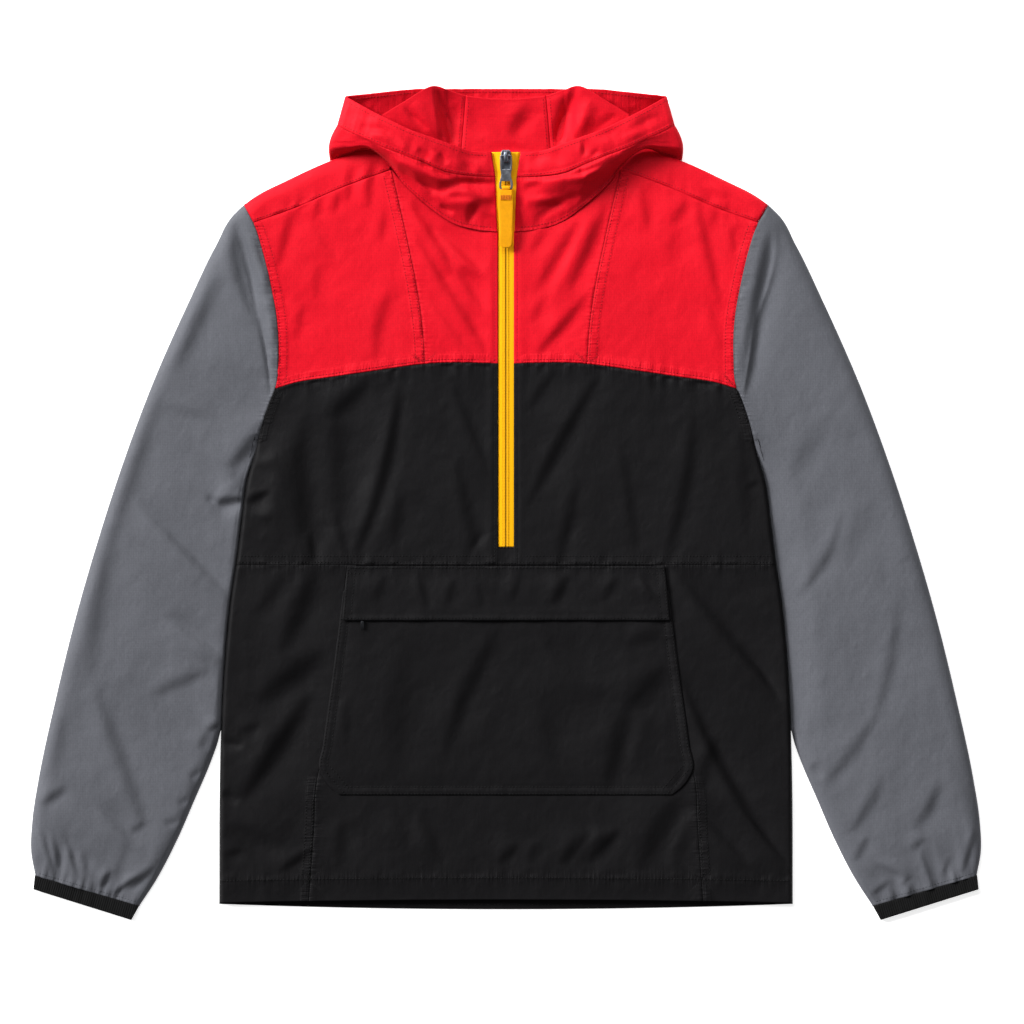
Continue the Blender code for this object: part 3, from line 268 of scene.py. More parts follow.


# %% [markdown]
# ## Folds placed one by one
#
# The large folds of a laid-out garment run between the places that hold it: the ends of the pocket
# flap, the yoke seam, the underarms. Most of them are not ridges but slumps: the cloth stands up on
# one side of a line and sinks on the other, and the bank between turns away from the light. Each row
# gives the two ends of that line, how far its middle bows to the right of its run, the width of the
# bank and how far it falls. The bank always falls the way the light runs, so it lies in shade.
# A few sharp creases and round ridges are rows of their own, with a crest like exp(-|d|) or exp(-d^2).
# A cloth simulation would find folds by itself, but not these ones in these places.

# %% Slumps of the chest, rows of x0, y0, x1, y1, bow, width, fall
LIGHT_RUN = (0.88, -0.47)       # the way the light runs over the table, from the upper left
CHEST_SLUMPS = (
    (-196, -60, -203, 88, -6, 26, 7.1), (-193, -60, -196, -28, 0, 8, 2.7),
    (-166, -24, -168, 94, -1, 26, 4.9), (-180, 84, -138, 121, 0, 18, 4.4),
    (-158, -59, -171, -8, 0, 9.2, 2.1), (-154, -60, -106, 121, 8, 13, 4.9),
    (-112, -44, -106, 12, 0, 14, 2.2), (-56, 126, -16, 26, 0, 12, 2.7),
    (-50, 44, -28, -56, 0, 14, 3.0), (-260, 1, -236, 12, 0, 9.2, 3.4), (19, -8, 95, 131, -2, 13, 3.2),
    (19, 90, 49, 133, 0, 10.3, 1.6), (57, -60, 72, 30, 0, 14, 1.9), (131, -56, 115, 62, 0, 12.6, 1.7),
    (159, -60, 188, 94, 5.5, 15, 3.2), (240, -36, 236, 90, 0, 14, 1.6),
    (252, 23, 240, 14, 0, 6.9, 1.2))

# %% Slumps below the waist
LOWER_SLUMPS = (
    (-224, -150, -189, -64, 0, 22, 5.2), (-252, -114, -213, -63, 0, 18, 2.4),
    (-250, -200, -180, -146, 0, 24, 5.2), (-266, -298, -194, -188, 1, 20, 6.0),
    (-268, -228, -246, -222, 0, 11.5, 2.1), (-278, -319, -220, -343, 0, 20, 3.7),
    (-227, -369, -192, -344, 0, 9.2, 2.4), (-282, -352, -262, -346, 0, 9.2, 1.6),
    (-63, -255, -5, -123, -5, 17.6, 3.4), (-112, -276, -102, -142, 0, 32.4, 2.4),
    (100, -287, 121, -203, 0, 21.6, 4.4), (116, -209, 161, -163, 0, 24.3, 4.4),
    (36, -136, 102, -186, 7, 21.6, 3.0), (33, -194, 51, -268, 0, 21.6, 1.9),
    (-161, -244, -158, -196, 0, 10.3, 1.1), (120, -140, 158, -128, 0, 16.2, 2.0),
    (131, -367, 172, -292, 0, 27.5, 4.9), (53, -362, 85, -328, 0, 15, 3.8),
    (79, -361, 113, -326, 0, 12.9, 3.4), (-9, -361, 13, -340, 0, 11.5, 2.4),
    (-166, -366, -164, -316, 0, 14.4, 2.0), (-86, -308, -63, -364, 0, 15, 2.4),
    (-114, -302, -97, -344, 0, 15.8, 1.7), (22, -360, 34, -338, 0, 11.5, 1.6),
    (276, -200, 168, -66, 0, 18, 6.2), (286, -368, 174, -168, -11, 13, 5.9),
    (242, -362, 184, -300, 0, 14, 4.2), (214, -232, 194, -290, 3, 16, 2.7),
    (-78, -106, -88, -70, 0, 9.2, 2.3), (46, -102, 62, -72, 0, 12, 2.7),
    (-58, -102, -52, -74, 0, 10.3, 1.7), (134, -74, 150, -94, 0, 6.9, 2.3),
    (-132, -100, -118, -70, 0, 11, 1.6), (96, -100, 112, -72, 0, 9, 1.6),
    (6, -98, 14, -70, 0, 8, 1.3), (-24, -104, -28, -80, 0, 9, 1.2))

# %% Slumps of the yoke
YOKE_SLUMPS = (
    (-228, 234, -211, 297, -2, 11.7, 2.6), (-196, 283, -170, 240, 0, 12, 1.7),
    (-190, 202, -188, 240, 0, 14, 1.6), (-211, 162, -203, 200, 0, 12, 1.7),
    (-131, 141, -110, 220, -6, 16, 2.5), (-138, 294, -135, 343, 0, 10.4, 2.5),
    (-158, 301, -156, 337, 0, 9.1, 2.1), (-173, 287, -166, 313, 0, 9.1, 1.7),
    (-191, 284, -185, 306, 0, 9.1, 1.6), (-125, 260, -121, 294, 0, 9.1, 1.6),
    (-52, 230, -96, 302, 0, 13, 5.5), (-24, 228, -68, 273, 0, 12, 5.5),
    (-19, 149, -93, 271, 0, 13, 5.5), (-22, 190, -49, 233, 0, 11.7, 3.7),
    (-32, 143, -78, 206, 0, 11.7, 2.7), (31, 214, 73, 284, 0, 15, 3.9),
    (63, 212, 102, 303, 0, 15, 3.9), (30, 147, 82, 209, 0, 12, 3.2),
    (23, 248, 41, 277, 0, 10.4, 1.8), (25, 178, 39, 209, 0, 11.7, 1.7),
    (143, 272, 135, 316, 0, 12, 2.6), (165, 277, 182, 305, 0, 13, 2.2),
    (166, 236, 168, 276, 0, 16, 1.7), (214, 198, 190, 304, 0, 12, 3.0),
    (209, 278, 207, 299, 0, 10.4, 1.7), (228, 249, 225, 278, 0, 9.1, 1.7),
    (219, 143, 201, 206, 0, 13, 1.6), (196, 314, 222, 306, 0, 11.7, 1.3))
FRONT_SLUMPS = CHEST_SLUMPS + LOWER_SLUMPS + YOKE_SLUMPS
print("slumps of the front:", len(FRONT_SLUMPS))

# %% Slumps of the sleeves
LEFT_SLUMPS = (
    (-249, 178, -273, 289, -8, 14, 5.0), (-334, 130, -284, 228, 0, 20, 3.0),
    (-398, -44, -343, 120, 0, 20, 4.2), (-416, -176, -391, -20, -4, 22, 4.2),
    (-342, 99, -290, 84, 0, 12, 1.8), (-276, 34, -238, 82, 0, 18, 6.2),
    (-295, -1, -260, 3, -2, 10.3, 5.6), (-274, -97, -369, 1, 0, 14, 5.8),
    (-281, -157, -341, -113, 0, 13, 4.4), (-356, -192, -295, -166, 0, 14, 2.9),
    (-357, -334, -411, -182, 0, 18, 4.7), (-453, -274, -443, -206, 0, 20, 2.3),
    (-469, -304, -438, -283, 0, 10.3, 3.1), (-368, -345, -408, -303, 0, 12, 3.6),
    (-376, -330, -360, -318, 0, 9, 2.3), (-300, -228, -282, -218, 0, 8, 3.4),
    (-306, -247, -300, -228, 0, 9.2, 2.3), (-466, -322, -452, -370, 0, 4.6, 2.5),
    (-454, -328, -445, -372, 0, 4.6, 2.7), (-441, -332, -429, -372, 0, 5, 3.1),
    (-424, -348, -419, -368, 0, 6, 2.2), (-407, -386, -395, -366, 0, 7, 3.4),
    (-380, -388, -351, -362, 0, 8, 4.0), (-394, -392, -366, -371, 0, 5, 2.8))
RIGHT_SLUMPS = (
    (237, 108, 268, 288, -3, 15, 7.5), (274, 10, 324, 92, 0, 22, 1.7),
    (287, -95, 335, -6, 10, 12, 2.2), (317, -284, 372, -210, 2, 15, 2.6),
    (367, -220, 391, -92, 6, 14, 2.2), (343, -331, 377, -271, 3, 14, 2.6),
    (348, -360, 362, -333, 0, 10, 2.2), (406, -328, 435, -276, 3, 14, 3.0),
    (404, -348, 419, -334, 0, 8, 2.0), (370, -359, 406, -377, 0, 8, 3.4),
    (425, -380, 413, -342, 0, 6, 2.3), (455, -373, 472, -318, 0, 7, 2.6),
    (443, -258, 463, -294, 0, 14, 1.6), (303, -244, 305, -214, 0, 9.6, 1.3),
    (362, -394, 384, -378, 0, 6, 1.6), (394, -384, 404, -372, 0, 5, 1.4),
    (436, -376, 444, -352, 0, 6, 1.4))
SLEEVE_SLUMPS = LEFT_SLUMPS + RIGHT_SLUMPS
print("slumps of the sleeves:", len(SLEEVE_SLUMPS))

# %% Creases and ridges, rows of x0, y0, x1, y1, bow, half width, height, sharpness
FRONT_CREASES = (
    (-141, -58, -100, 80, 4, 15, 1.2, 0.1), (-224, 70, -232, -40, 3, 12, 1.5, 0.1),
    (-252, 40, -228, 44, 0, 8, 1.2, 0.2), (-256, -10, -234, -14, 0, 7, 1.2, 0.2),
    (-18, -26, -37, -56, 2, 5, -1.0, 0.6), (66, -10, 57, -57, 0, 7, -0.9, 0.4),
    (-288, -236, -262, -242, 2, 5, -1.6, 0.4), (-284, -290, -268, -300, 0, 6, -1.2, 0.3),
    (138, -206, 124, -270, 0, 12, 1.6, 0.2), (98, -326, 66, -362, 2, 7, 1.2, 0.3),
    (188, -310, 162, -368, 3, 9, 1.4, 0.2), (232, -142, 274, -199, -4, 5, -1.4, 0.7),
    (284, -362, 230, -296, 0, 5, -1.2, 0.7), (-86, 288, -34, 168, -3, 8, 1.2, 0.2),
    (86, 290, 40, 190, 0, 9, 1.4, 0.2))
SLEEVE_CREASES = (
    (-271, 284, -248, 186, -2, 3, -2.6, 0.9), (-249, 194, -235, 108, -2, 3, -2.2, 0.9),
    (-262, 282, -238, 190, -4, 6, 3.0, 0.3), (-238, 206, -231, 124, -1, 5, 2.2, 0.3),
    (-250, 262, -240, 232, 0, 4, -1.8, 0.4), (-236, 160, -229, 146, 0, 3, -1.6, 0.4),
    (-234, 142, -228, 130, 0, 3, -1.4, 0.4), (-313, 74, -268, 16, -3, 9, 1.5, 0.3),
    (-299, 4, -288, 2, 0, 4, -1.8, 0.5), (-288, 16, -262, 14, -2, 6, 0.8, 0.2),
    (-284, -12, -262, -20, -1, 8, 0.7, 0.2), (269, 286, 270, 246, 1, 4, 1.6, 0.8),
    (271, 258, 247, 178, -3, 4, 1.8, 0.8), (249, 188, 236, 104, -1, 4, 1.8, 0.8),
    (316, -276, 306, -262, 0, 4, -1.4, 0.4), (-316, -276, -304, -268, 0, 4, -1.6, 0.4),
    (-328, -302, -316, -296, 0, 4, -1.4, 0.4), (-340, -322, -326, -318, 0, 4, -1.4, 0.4),
    (-298, 240, -344, 120, -4, 10, 1.2, 0.1), (356, 10, 330, -60, 3, 14, 1.2, 0.1))
print("creases:", len(FRONT_CREASES) + len(SLEEVE_CREASES))


# %% Heights of the folds
def near_row(x, y, row, reach):
    """Which points are near a row's line, their share of its run, their distance to its right, and
    1 where the ground falls to the right or -1 where it falls to the left."""
    x0, y0, x1, y1, bow = row[:5]
    run_x, run_y = x1 - x0, y1 - y0
    length = math.hypot(run_x, run_y)
    near = ((x > min(x0, x1) - reach) & (x < max(x0, x1) + reach)
            & (y > min(y0, y1) - reach) & (y < max(y0, y1) + reach))
    px, py = x[near], y[near]
    t = np.clip(((px - x0) * run_x + (py - y0) * run_y) / length ** 2, 0, 1)
    across = ((px - x0) * run_y - (py - y0) * run_x) / length - 4 * bow * t * (1 - t)
    falls_right = run_y * LIGHT_RUN[0] - run_x * LIGHT_RUN[1] > 0
    return near, t, across, 1.0 if falls_right else -1.0


def crease_heights(x, y, rows, scale=1.5):
    """The sum of the rows: height * crest(distance from the bowed line) * a soft fade at both ends."""
    total = np.zeros(np.shape(x))
    for row in rows:
        half_width, height, sharp = row[5:]
        near, t, across, _ = near_row(x, y, row, 3.2 * half_width + abs(row[4]))
        d = across / half_width
        crest = sharp * np.exp(0.35 - np.sqrt(3.2 * d * d + 0.1225)) + (1 - sharp) * np.exp(-d * d)
        total[near] += scale * height * crest * np.sin(math.pi * t) ** 0.75
    return total


def slump_heights(x, y, rows, scale=1.0):
    """Each row: -d / (1 + d^2)^1.5, which falls between d = -0.7 and 0.7 and levels out beyond.

    The bank narrows and flattens towards both ends of its line, like a spindle.
    """
    total = np.zeros(np.shape(x))
    for row in rows:
        width, fall = row[5:]
        reach = 3.4 * width
        near, t, across, sense = near_row(x, y, row, reach + abs(row[4]))
        spindle = np.sin(math.pi * t)
        d = sense * across * 1.414 / (width * (0.62 + 0.55 * spindle))
        ends = 1.12 * spindle ** 0.9
        fade = np.clip(1 - (across / reach) ** 2, 0, 1) ** 2
        total[near] -= scale * 1.3 * fall * d / (1 + d * d) ** 1.5 * ends * fade
    return total


def front_folds(x, y):
    """All folds of the front, in millimetres."""
    return slump_heights(x, y, FRONT_SLUMPS) + crease_heights(x, y, FRONT_CREASES)


def sleeve_folds(x, y):
    """All folds of both sleeves, in millimetres."""
    return slump_heights(x, y, SLEEVE_SLUMPS) + crease_heights(x, y, SLEEVE_CREASES)


middle_row = front_folds(np.linspace(-220, 220, 99), np.full(99, 60.0))
print("folds across the chest, mm:", np.round([middle_row.min(), middle_row.max()], 1))

# %% [markdown]
# ## Seams
#
# A seam pulls the cloth down into a narrow groove, and the doubled allowance beside it stands a
# little proud. Where a long edge is sewn to a shorter one it also puckers, most of all on the black
# side of the yoke seam, at the waist and along the hem. All seams of the front share one table, so
# that two panels that meet there get exactly the same heights. The side of the allowance is the one
# that is topstitched twice, and its finest puckers are left to the finish.

# %% Where each seam runs
AWAY = 60.0            # a distance from a seam at which nothing of it is felt


def hem_stitch(x):
    """The line that the hem is sewn along, 22 mm above its edge."""
    return hem(x) + 22.0


def above_underarm(y):
    """0 below the armhole, 1 along it."""
    return soft_step((y - UNDERARM_Y + 6) / 16)


def across(x, y):
    """Place along a seam that runs from side to side."""
    return x


def upright(x, y):
    """Place along a seam that runs up and down; the two sides lie far apart on it."""
    return y + 800 * np.sign(x)


# %% Seam rows
# Distance from the seam, place along it, how much of it is there, side of the doubled strip (1, -1 or
# none), depth of the groove, pucker before and after the seam, seed.
ARMHOLE_ROW = (lambda x, y: np.abs(x) - side_edge(y), upright, lambda x, y: above_underarm(y),
               -1, 0.45, 0.3, 0.5, 25)
FRONT_SEAMS = (
    (lambda x, y: y - chest_seam(x), across, lambda x, y: soft_step((np.abs(x) - 9) / 8),
     1, 0.6, 1.3, 0.8, 21),
    (lambda x, y: y - WAIST_Y, across, lambda x, y: 1.0, 0, 0.3, 0.5, 0.8, 22),
    (lambda x, y: np.abs(x) - princess(y), upright, lambda x, y: soft_step((y - 139 + 4) / 8),
     1, 0.75, 0.3, 0.5, 23),
    (lambda x, y: np.abs(x) - lower_seam(y), upright, lambda x, y: soft_step((-266 - y) / 10),
     1, 0.5, 0.35, 0.4, 24),
    ARMHOLE_ROW,
    (lambda x, y: y - hem_stitch(x), across, lambda x, y: 1.0, 0, 0.3, 0.4, 0.6, 26),
)
shoulder_line = smooth_line(SHOULDER_SEAM)
SHOULDER_ROW = (lambda x, y: y - shoulder_line(np.abs(x)), across,
                lambda x, y: soft_step((np.abs(x) - 112) / 8), 1, 0.3, 0.5, 0.9, 27)
print("seams on the front:", len(FRONT_SEAMS) + 1)


# %% Relief along the seams
def nearest_seam(x, y, seams=FRONT_SEAMS):
    """(place along, distance, 1 over the doubled allowance) of the nearest seam that runs there."""
    best, along = np.full(np.shape(x), AWAY), np.zeros(np.shape(x))
    doubled = np.zeros(np.shape(x))
    for distance, place, there, allowance, *_ in seams:
        far = np.abs(distance(x, y)) + AWAY * (1 - there(x, y))
        closer = far < best
        inside = soft_step((10.0 - far) / 1.5) * (allowance * distance(x, y) > 0)
        best, along = np.where(closer, far, best), np.where(closer, place(x, y), along)
        doubled = np.where(closer, inside, doubled)
    return along, best, doubled


def seam_relief(x, y, seams=FRONT_SEAMS):
    """Each seam: a groove like exp(-(d/1.3)^2), a low swell 7 mm beside it and fading puckers."""
    total = np.zeros(np.shape(x))
    for distance, place, there, _, groove, before, after, seed in seams:
        d, s, share = distance(x, y), place(x, y), there(x, y)
        far = np.abs(d)
        total += share * groove * (0.12 * bell(far - 7, 5) - bell(d, 1.3))
        wave = (swells(s, 0 * s, 6.2, seed) + 0.6 * swells(s, 0 * s, 12.0, seed + 40)
                + 0.4 * swells(s, d, 8.0, seed + 80))
        amount = np.where(d < 0, before, after) * soft_step((far - 0.6) / 2.6)
        reach = 7.0 + 3.0 * swells(s, 0 * s, 17.0, seed + 120)
        total += share * amount * wave * np.exp(-np.maximum(far - 3, 0) / reach)
    return total


print("relief on the yoke seam, mm:", np.round(seam_relief(np.array(60.0), chest_seam(60.0)), 2))

# %% [markdown]
# ## Heights of the cloth
#
# The dressed garment keeps the model's form: flat on the table below, a rolled edge where front turns
# into back, and the folds on top. The body's side edge is fuller than the sleeve's inner edge, since
# the body lies over it. The crown of the hood is folded under the back and lifts the yoke.

# %% Lofts and edges
BODY_ROLL = 4.5       # roll of the body's side edge
SLEEVE_ROLL = 17.0    # the slacker roll of the sleeve's inner edge
FOLD_GAP = 0.05       # upper and lower faces keep this far from the height at which they turn over


def lift(x, y):
    """How far the folded crown of the hood holds the back off the table."""
    margin, fade = 17.0, 30.0
    across = soft_step((crown_half(y) + margin + fade - np.abs(x)) / fade)
    along = soft_step((y - CROWN_HALF[0][0] + margin + fade) / fade)
    return (CROWN_THICK + GAP) * across * along


def puff(x, y):
    """What the air between the layers adds, away from the folded crown."""
    return PUFF * (1 - lift(x, y) / (CROWN_THICK + GAP))


def edge_distance(x, y):
    """Distance from the shoulder line or the outer edge of the sleeve."""
    slope = (outer_edge(y + 2.0) - outer_edge(y - 2.0)) / 4.0
    return (outer_edge(y) - np.abs(x)) / np.sqrt(1 + slope ** 2)


def side_share(y):
    """1 where body and sleeve lie apart, 0 where the armhole seam joins them."""
    return soft_step((UNDERARM_Y + 22.0 - y) / 50.0)


def floored(height, floor, soft=0.7):
    """The larger of heights a and b with a soft change: (a + b + root((a-b)^2 + (soft b)^2)) / 2."""
    return (height + floor + np.sqrt((height - floor) ** 2 + (soft * floor) ** 2)) / 2


print("the crown lifts the back, mm:", np.round(lift(0.0, 300.0), 2))


# %% Heights of front and back
def front_height(x, y, detail=1.0):
    """Rolled rise + folds + swells + seam relief; detail 0 leaves the bare form of the model."""
    side = rolled(side_edge(y) - np.abs(x), BODY_ROLL)
    loft = rolled(edge_distance(x, y), EDGE_ROLL) * (1 - side_share(y) * (1 - side))
    calm = soft_step((np.abs(x) - ZIP_HALF) / 16.0) * loft ** 2
    calm = np.where(y < ZIP_END_Y - 20, loft ** 2, calm)
    height = (LOFT + puff(x, y)) * loft + detail * calm * (front_folds(x, y) + crumple(x, y, 11))
    height = height + detail * loft * seam_relief(x, y, (*FRONT_SEAMS, SHOULDER_ROW))
    height = height - detail * 1.3 * soft_step((hem(x) + 40 - y) / 40) * loft
    return lift(x, y) + FOLD_MID + FOLD_GAP + floored(height, LOFT * 0.2 * loft)


def under_height(x, y):
    """Lower face of the back: on the table, and rolled up at its edges."""
    side = rolled(side_edge(y) - np.abs(x), UNDER_ROLL)
    roll = rolled(edge_distance(x, y), UNDER_ROLL) * (1 - side_share(y) * (1 - side))
    return lift(x, y) + (FOLD_MID - FOLD_GAP) * (1 - roll)


print("height over the chest, mm:", np.round(front_height(np.array(120.0), np.array(60.0)), 2))

# %% Gathers at the cuff
GATHER_REACH, GATHER_HEIGHT = 78.0, 2.7


def cuff_place(x, y, side):
    """(0..1 along the cuff's upper edge, distance up the sleeve from it)."""
    (ax, ay), (bx, by) = CUFF_TOP
    run_x, run_y = bx - ax, by - ay
    length = math.hypot(run_x, run_y)
    along = ((x * side - ax) * run_x + (y - ay) * run_y) / length ** 2
    return along, ((y - ay) * run_x - (x * side - ax) * run_y) / length


def gathers(x, y, side):
    """Pleats that the elastic draws: value noise across the cuff, fading up the sleeve."""
    along, up = cuff_place(x, y, side)
    across = (along + 0.0006 * up * (0.5 - along)) * PLEAT_SPAN
    coarse = swells(across, 0 * up, 8.5, 61 + side)
    small = swells(across, up / 9.0, 4.4, 67 + side)
    reach = GATHER_REACH * (0.75 + 0.5 * swells(across, 0 * up, 17.0, 71 + side))
    fade = np.clip(1 - up / np.maximum(reach, 20), 0, 1) ** 1.5
    notches = swells(across, up / 30.0, 3.7, 83 + side)
    near = np.maximum(up, 0)
    return (GATHER_HEIGHT * fade * (coarse + 0.1) + 1.1 * np.exp(-near / 14.0) * small
            + 2.3 * np.exp(-near / 9.0) * notches * (0.35 + 0.65 * soft_step(near / 4.0)))


# %% Heights of the sleeves
def tucked(x, y):
    """The sleeve's allowance lies under the body's cloth along the armhole."""
    return 1.1 * np.clip((side_edge(y) - np.abs(x)) / 0.6, 0, 1) * above_underarm(y)


def sleeve_height(x, y):
    """Upper face of a sleeve: as the front, with its own folds and the cuff's gathers.

    Beside the body, the left sleeve's inner edge is a tight roll with a low rim, and the right sleeve
    lies slack. Lower down the free inner edge is pressed a millimetre flat.
    """
    inside = np.abs(x) - sleeve_inner(y)
    slack = 0.35 * rolled(inside, 5.0) + 0.65 * soft_step(inside / 34.0)
    beside = soft_step((y + 260.0) / 40.0)
    tight = rolled(inside, 7.0) + 0.12 * bell(inside - 2.2, 1.4)
    inner = rolled(inside, SLEEVE_ROLL) * (1 - beside) + np.where(x > 0, slack, tight) * beside
    loft = rolled(edge_distance(x, y), EDGE_ROLL) * (1 - side_share(y) * (1 - inner))
    up = np.where(x < 0, cuff_place(x, y, -1)[1], cuff_place(x, y, 1)[1])
    drawn = np.where(x < 0, gathers(x, y, -1), gathers(x, y, 1))
    relief = sleeve_folds(x, y) + 1.1 * crumple(x, y, 31) + drawn
    base = LOFT * (1 - 0.3 * np.exp(-np.maximum(up, 0) / 5.0)) + puff(x, y) * soft_step(up / 60.0)
    height = base * loft + loft ** 2 * relief + loft * seam_relief(x, y, (ARMHOLE_ROW,))
    height = height - 1.1 * (1 - soft_step((inside - 3.2) / 1.2)) * soft_step((-150 - y) / 40) * loft
    return FOLD_MID + FOLD_GAP + floored(height, LOFT * 0.2 * loft) + lift(x, y) - tucked(x, y)


def sleeve_under_height(x, y):
    """Lower face of a sleeve: on the table, rolled up at both edges."""
    inner = rolled(np.abs(x) - sleeve_inner(y), UNDER_ROLL)
    roll = rolled(edge_distance(x, y), UNDER_ROLL) * (1 - side_share(y) * (1 - inner))
    return (FOLD_MID - FOLD_GAP) * (1 - roll) + lift(x, y) + tucked(x, y)


print("height of the sleeve, mm:", np.round(sleeve_height(np.array(-380.0), np.array(-150.0)), 2))


# %% Heights of pocket and flap
def pocket_edge(x, y):
    """Distance inside the pocket's side and lower edges."""
    return np.minimum((pocket_side(y) - np.abs(x)) * 0.98, y - POCKET_LOW_Y)


def pocket_height(x, y):
    """The pocket lies one layer above the panel, flatter at its lower seam, and puffs a little inside."""
    inside = np.maximum(pocket_edge(x, y), 0)
    flat = 0.42 * soft_step((-285.0 - y) / 5.0)
    step = LAYER * (0.8 - flat + (0.2 + flat) * rolled(inside, 3.0))
    stitched = -0.45 * bell(inside - 8.5, 1.7) + 0.5 * soft_step((inside - 9) / 16)
    wave = swells(np.where(y < -285, x, y) + 500 * np.sign(x), 0 * x, 6.0, 91)
    return front_height(x, y) + step + stitched + 0.2 * wave * np.exp(-np.abs(inside - 9) / 7)


def under_pocket_height(x, y):
    """The panel under the pocket keeps clear of it."""
    inside = np.minimum(pocket_side(y) - 3 - np.abs(x), y - POCKET_LOW_Y)
    return front_height(x, y) - 1.6 * soft_step(inside / 18.0)


def flap_side(y):
    """Half the width of the flap: a straight side."""
    return FLAP_TOP + (FLAP_BOTTOM - FLAP_TOP) * (WAIST_Y - y) / (WAIST_Y - FLAP_Y)


def flap_height(x, y):
    """The flap lies over the pocket's mouth; its free lower edge stands off and curls up a little."""
    rise = soft_step((POCKET_OPEN_Y + 22.0 - y) / 20.0)
    free = soft_step((FLAP_Y + 16 - y) / 16)
    sewn = np.minimum(flap_side(y) - np.abs(x), 40)
    stitched = -0.4 * bell(sewn - 8, 1.6) - 0.35 * bell(y - FLAP_Y - 5, 1.6)
    wave = 0.7 * swells(x, 0 * x, 30, 95) + 0.4 * swells(x, y, 15, 96)
    return (front_height(x, y) + 1.8 * LAYER + 0.9 * LAYER * rise + stitched
            + free * (0.6 + 1.3 * wave) - 0.3 * (1 - rolled(np.maximum(y - FLAP_Y, 0) + 0.05, 1.5)))


print("height over the pocket, mm:", np.round(pocket_height(np.array(0.0), np.array(-200.0)), 2))

# %% [markdown]
# ## Cloth as a thin shell
#
# A panel is a grid of points, which is its outer face, and a second grid one thickness behind it.
# The two are joined by a rim, so the panel is closed. Rows and columns come closer together near a
# seam, where the relief is finest. A solidify modifier would thicken the cloth as well, but a few
# pieces, such as the crown and the fold of the back yoke, need an inner face of their own.

# %% Meshes from arrays
TRIANGLES = {}


def normals(grid, facing, ring=False):
    """Unit normals of a grid, turned to the side of facing, or away from a ring's own middle."""
    if ring:
        wrapped = join(grid[:, -1:], grid, grid[:, :1], axis=1)
        across = np.gradient(wrapped, axis=1)[:, 1:-1]
        facing = grid - grid.mean(axis=1, keepdims=True)
    else:
        across = np.gradient(grid, axis=1)
    found = np.cross(across, np.gradient(grid, axis=0))
    found /= np.maximum(np.linalg.norm(found, axis=2, keepdims=True), 1e-9)
    return found * np.sign((found * np.array(facing, float)).sum())


def mesh_object(name, points, faces, finish, smooth=True):
    """A mesh from arrays: points in millimetres, faces as rows of vertex numbers of one length."""
    mesh = bpy.data.meshes.new(name)
    sides = faces.shape[1]
    mesh.vertices.add(len(points))
    mesh.vertices.foreach_set("co", (points * MM).astype(np.float32).ravel())
    mesh.loops.add(faces.size)
    mesh.loops.foreach_set("vertex_index", faces.astype(np.int32).ravel())
    mesh.polygons.add(len(faces))
    mesh.polygons.foreach_set("loop_start", np.arange(0, faces.size, sides, dtype=np.int32))
    mesh.polygons.foreach_set("use_smooth", np.full(len(faces), smooth))
    mesh.update(calc_edges=True)
    mesh.validate()
    mesh.materials.append(finish)
    made = bpy.data.objects.new(name.replace(" ", "_"), mesh)
    bpy.context.scene.collection.objects.link(made)
    return made


# %% Shells
def shell(name, grid, finish, wall=WALL, facing=(0, 0, 1), ring=False, keep=None, inner=None,
          sewn=None):
    """A closed thin body: the grid, the same grid one wall behind it, and the rim that joins them.

    sewn gives each point's place along the nearest seam and its distance from it, in millimetres,
    and 1 over a doubled allowance; the finish draws its finest puckers, and a painted shade along
    each seam, from these.
    """
    rows, columns = grid.shape[:2]
    if inner is None:
        inner = grid - normals(grid, facing, ring) * wall
    index = np.arange(rows * columns).reshape(rows, columns)
    if ring:
        index = join(index, index[:, :1], axis=1)
    quads = np.stack([index[:-1, :-1], index[:-1, 1:], index[1:, 1:], index[1:, :-1]], -1)
    quads = quads[keep] if keep is not None else quads.reshape(-1, 4)
    count = rows * columns
    start, end = quads.ravel(), np.roll(quads, -1, axis=1).ravel()
    open_edge = ~np.isin(start * count + end, end * count + start)
    start, end = start[open_edge], end[open_edge]
    rim = np.stack([end, start, start + count, end + count], -1)
    faces = join(quads, quads[:, ::-1] + count, rim)
    points = join(grid.reshape(-1, 3), inner.reshape(-1, 3))
    a, b, c, d = (points[faces[:, k]] for k in range(4))
    volume = np.einsum("ij,ij->i", a, np.cross(b, c) + np.cross(c, d)).sum()
    if volume < 0:
        faces = faces[:, ::-1]
    used, faces = np.unique(faces, return_inverse=True)
    made = mesh_object(name, points[used], faces.reshape(-1, 4), finish)
    if finish in CLOTHS:
        sewn = (*(sewn or (0.0, AWAY)), 0.0)[:3]
        seam_place = np.stack([np.broadcast_to(part, grid.shape[:2]) for part in sewn], -1)
        seam_place = np.tile(seam_place.reshape(-1, 3), (2, 1))[used]
        stored = made.data.attributes.new("sewn", "FLOAT_VECTOR", "POINT")
        stored.data.foreach_set("vector", seam_place.astype(np.float32).ravel())
    TRIANGLES[name] = 2 * len(faces.reshape(-1, 4))
    return made


# %% Patches
def fine(width, pitch, start=(0.9, 1.9, 3.1, 4.6), end=(0.9, 1.9, 3.1, 4.6)):
    """Places 0..1 over a width: the given steps at either end and about one pitch between."""
    first = np.array([0.0, *start]) / width
    last = 1 - np.array([0.0, *end]) / width
    count = max(2, int(round((last[-1] - first[-1]) * width / pitch)))
    return join(first[:-1], np.linspace(first[-1], last[-1], count + 1), last[-2::-1])


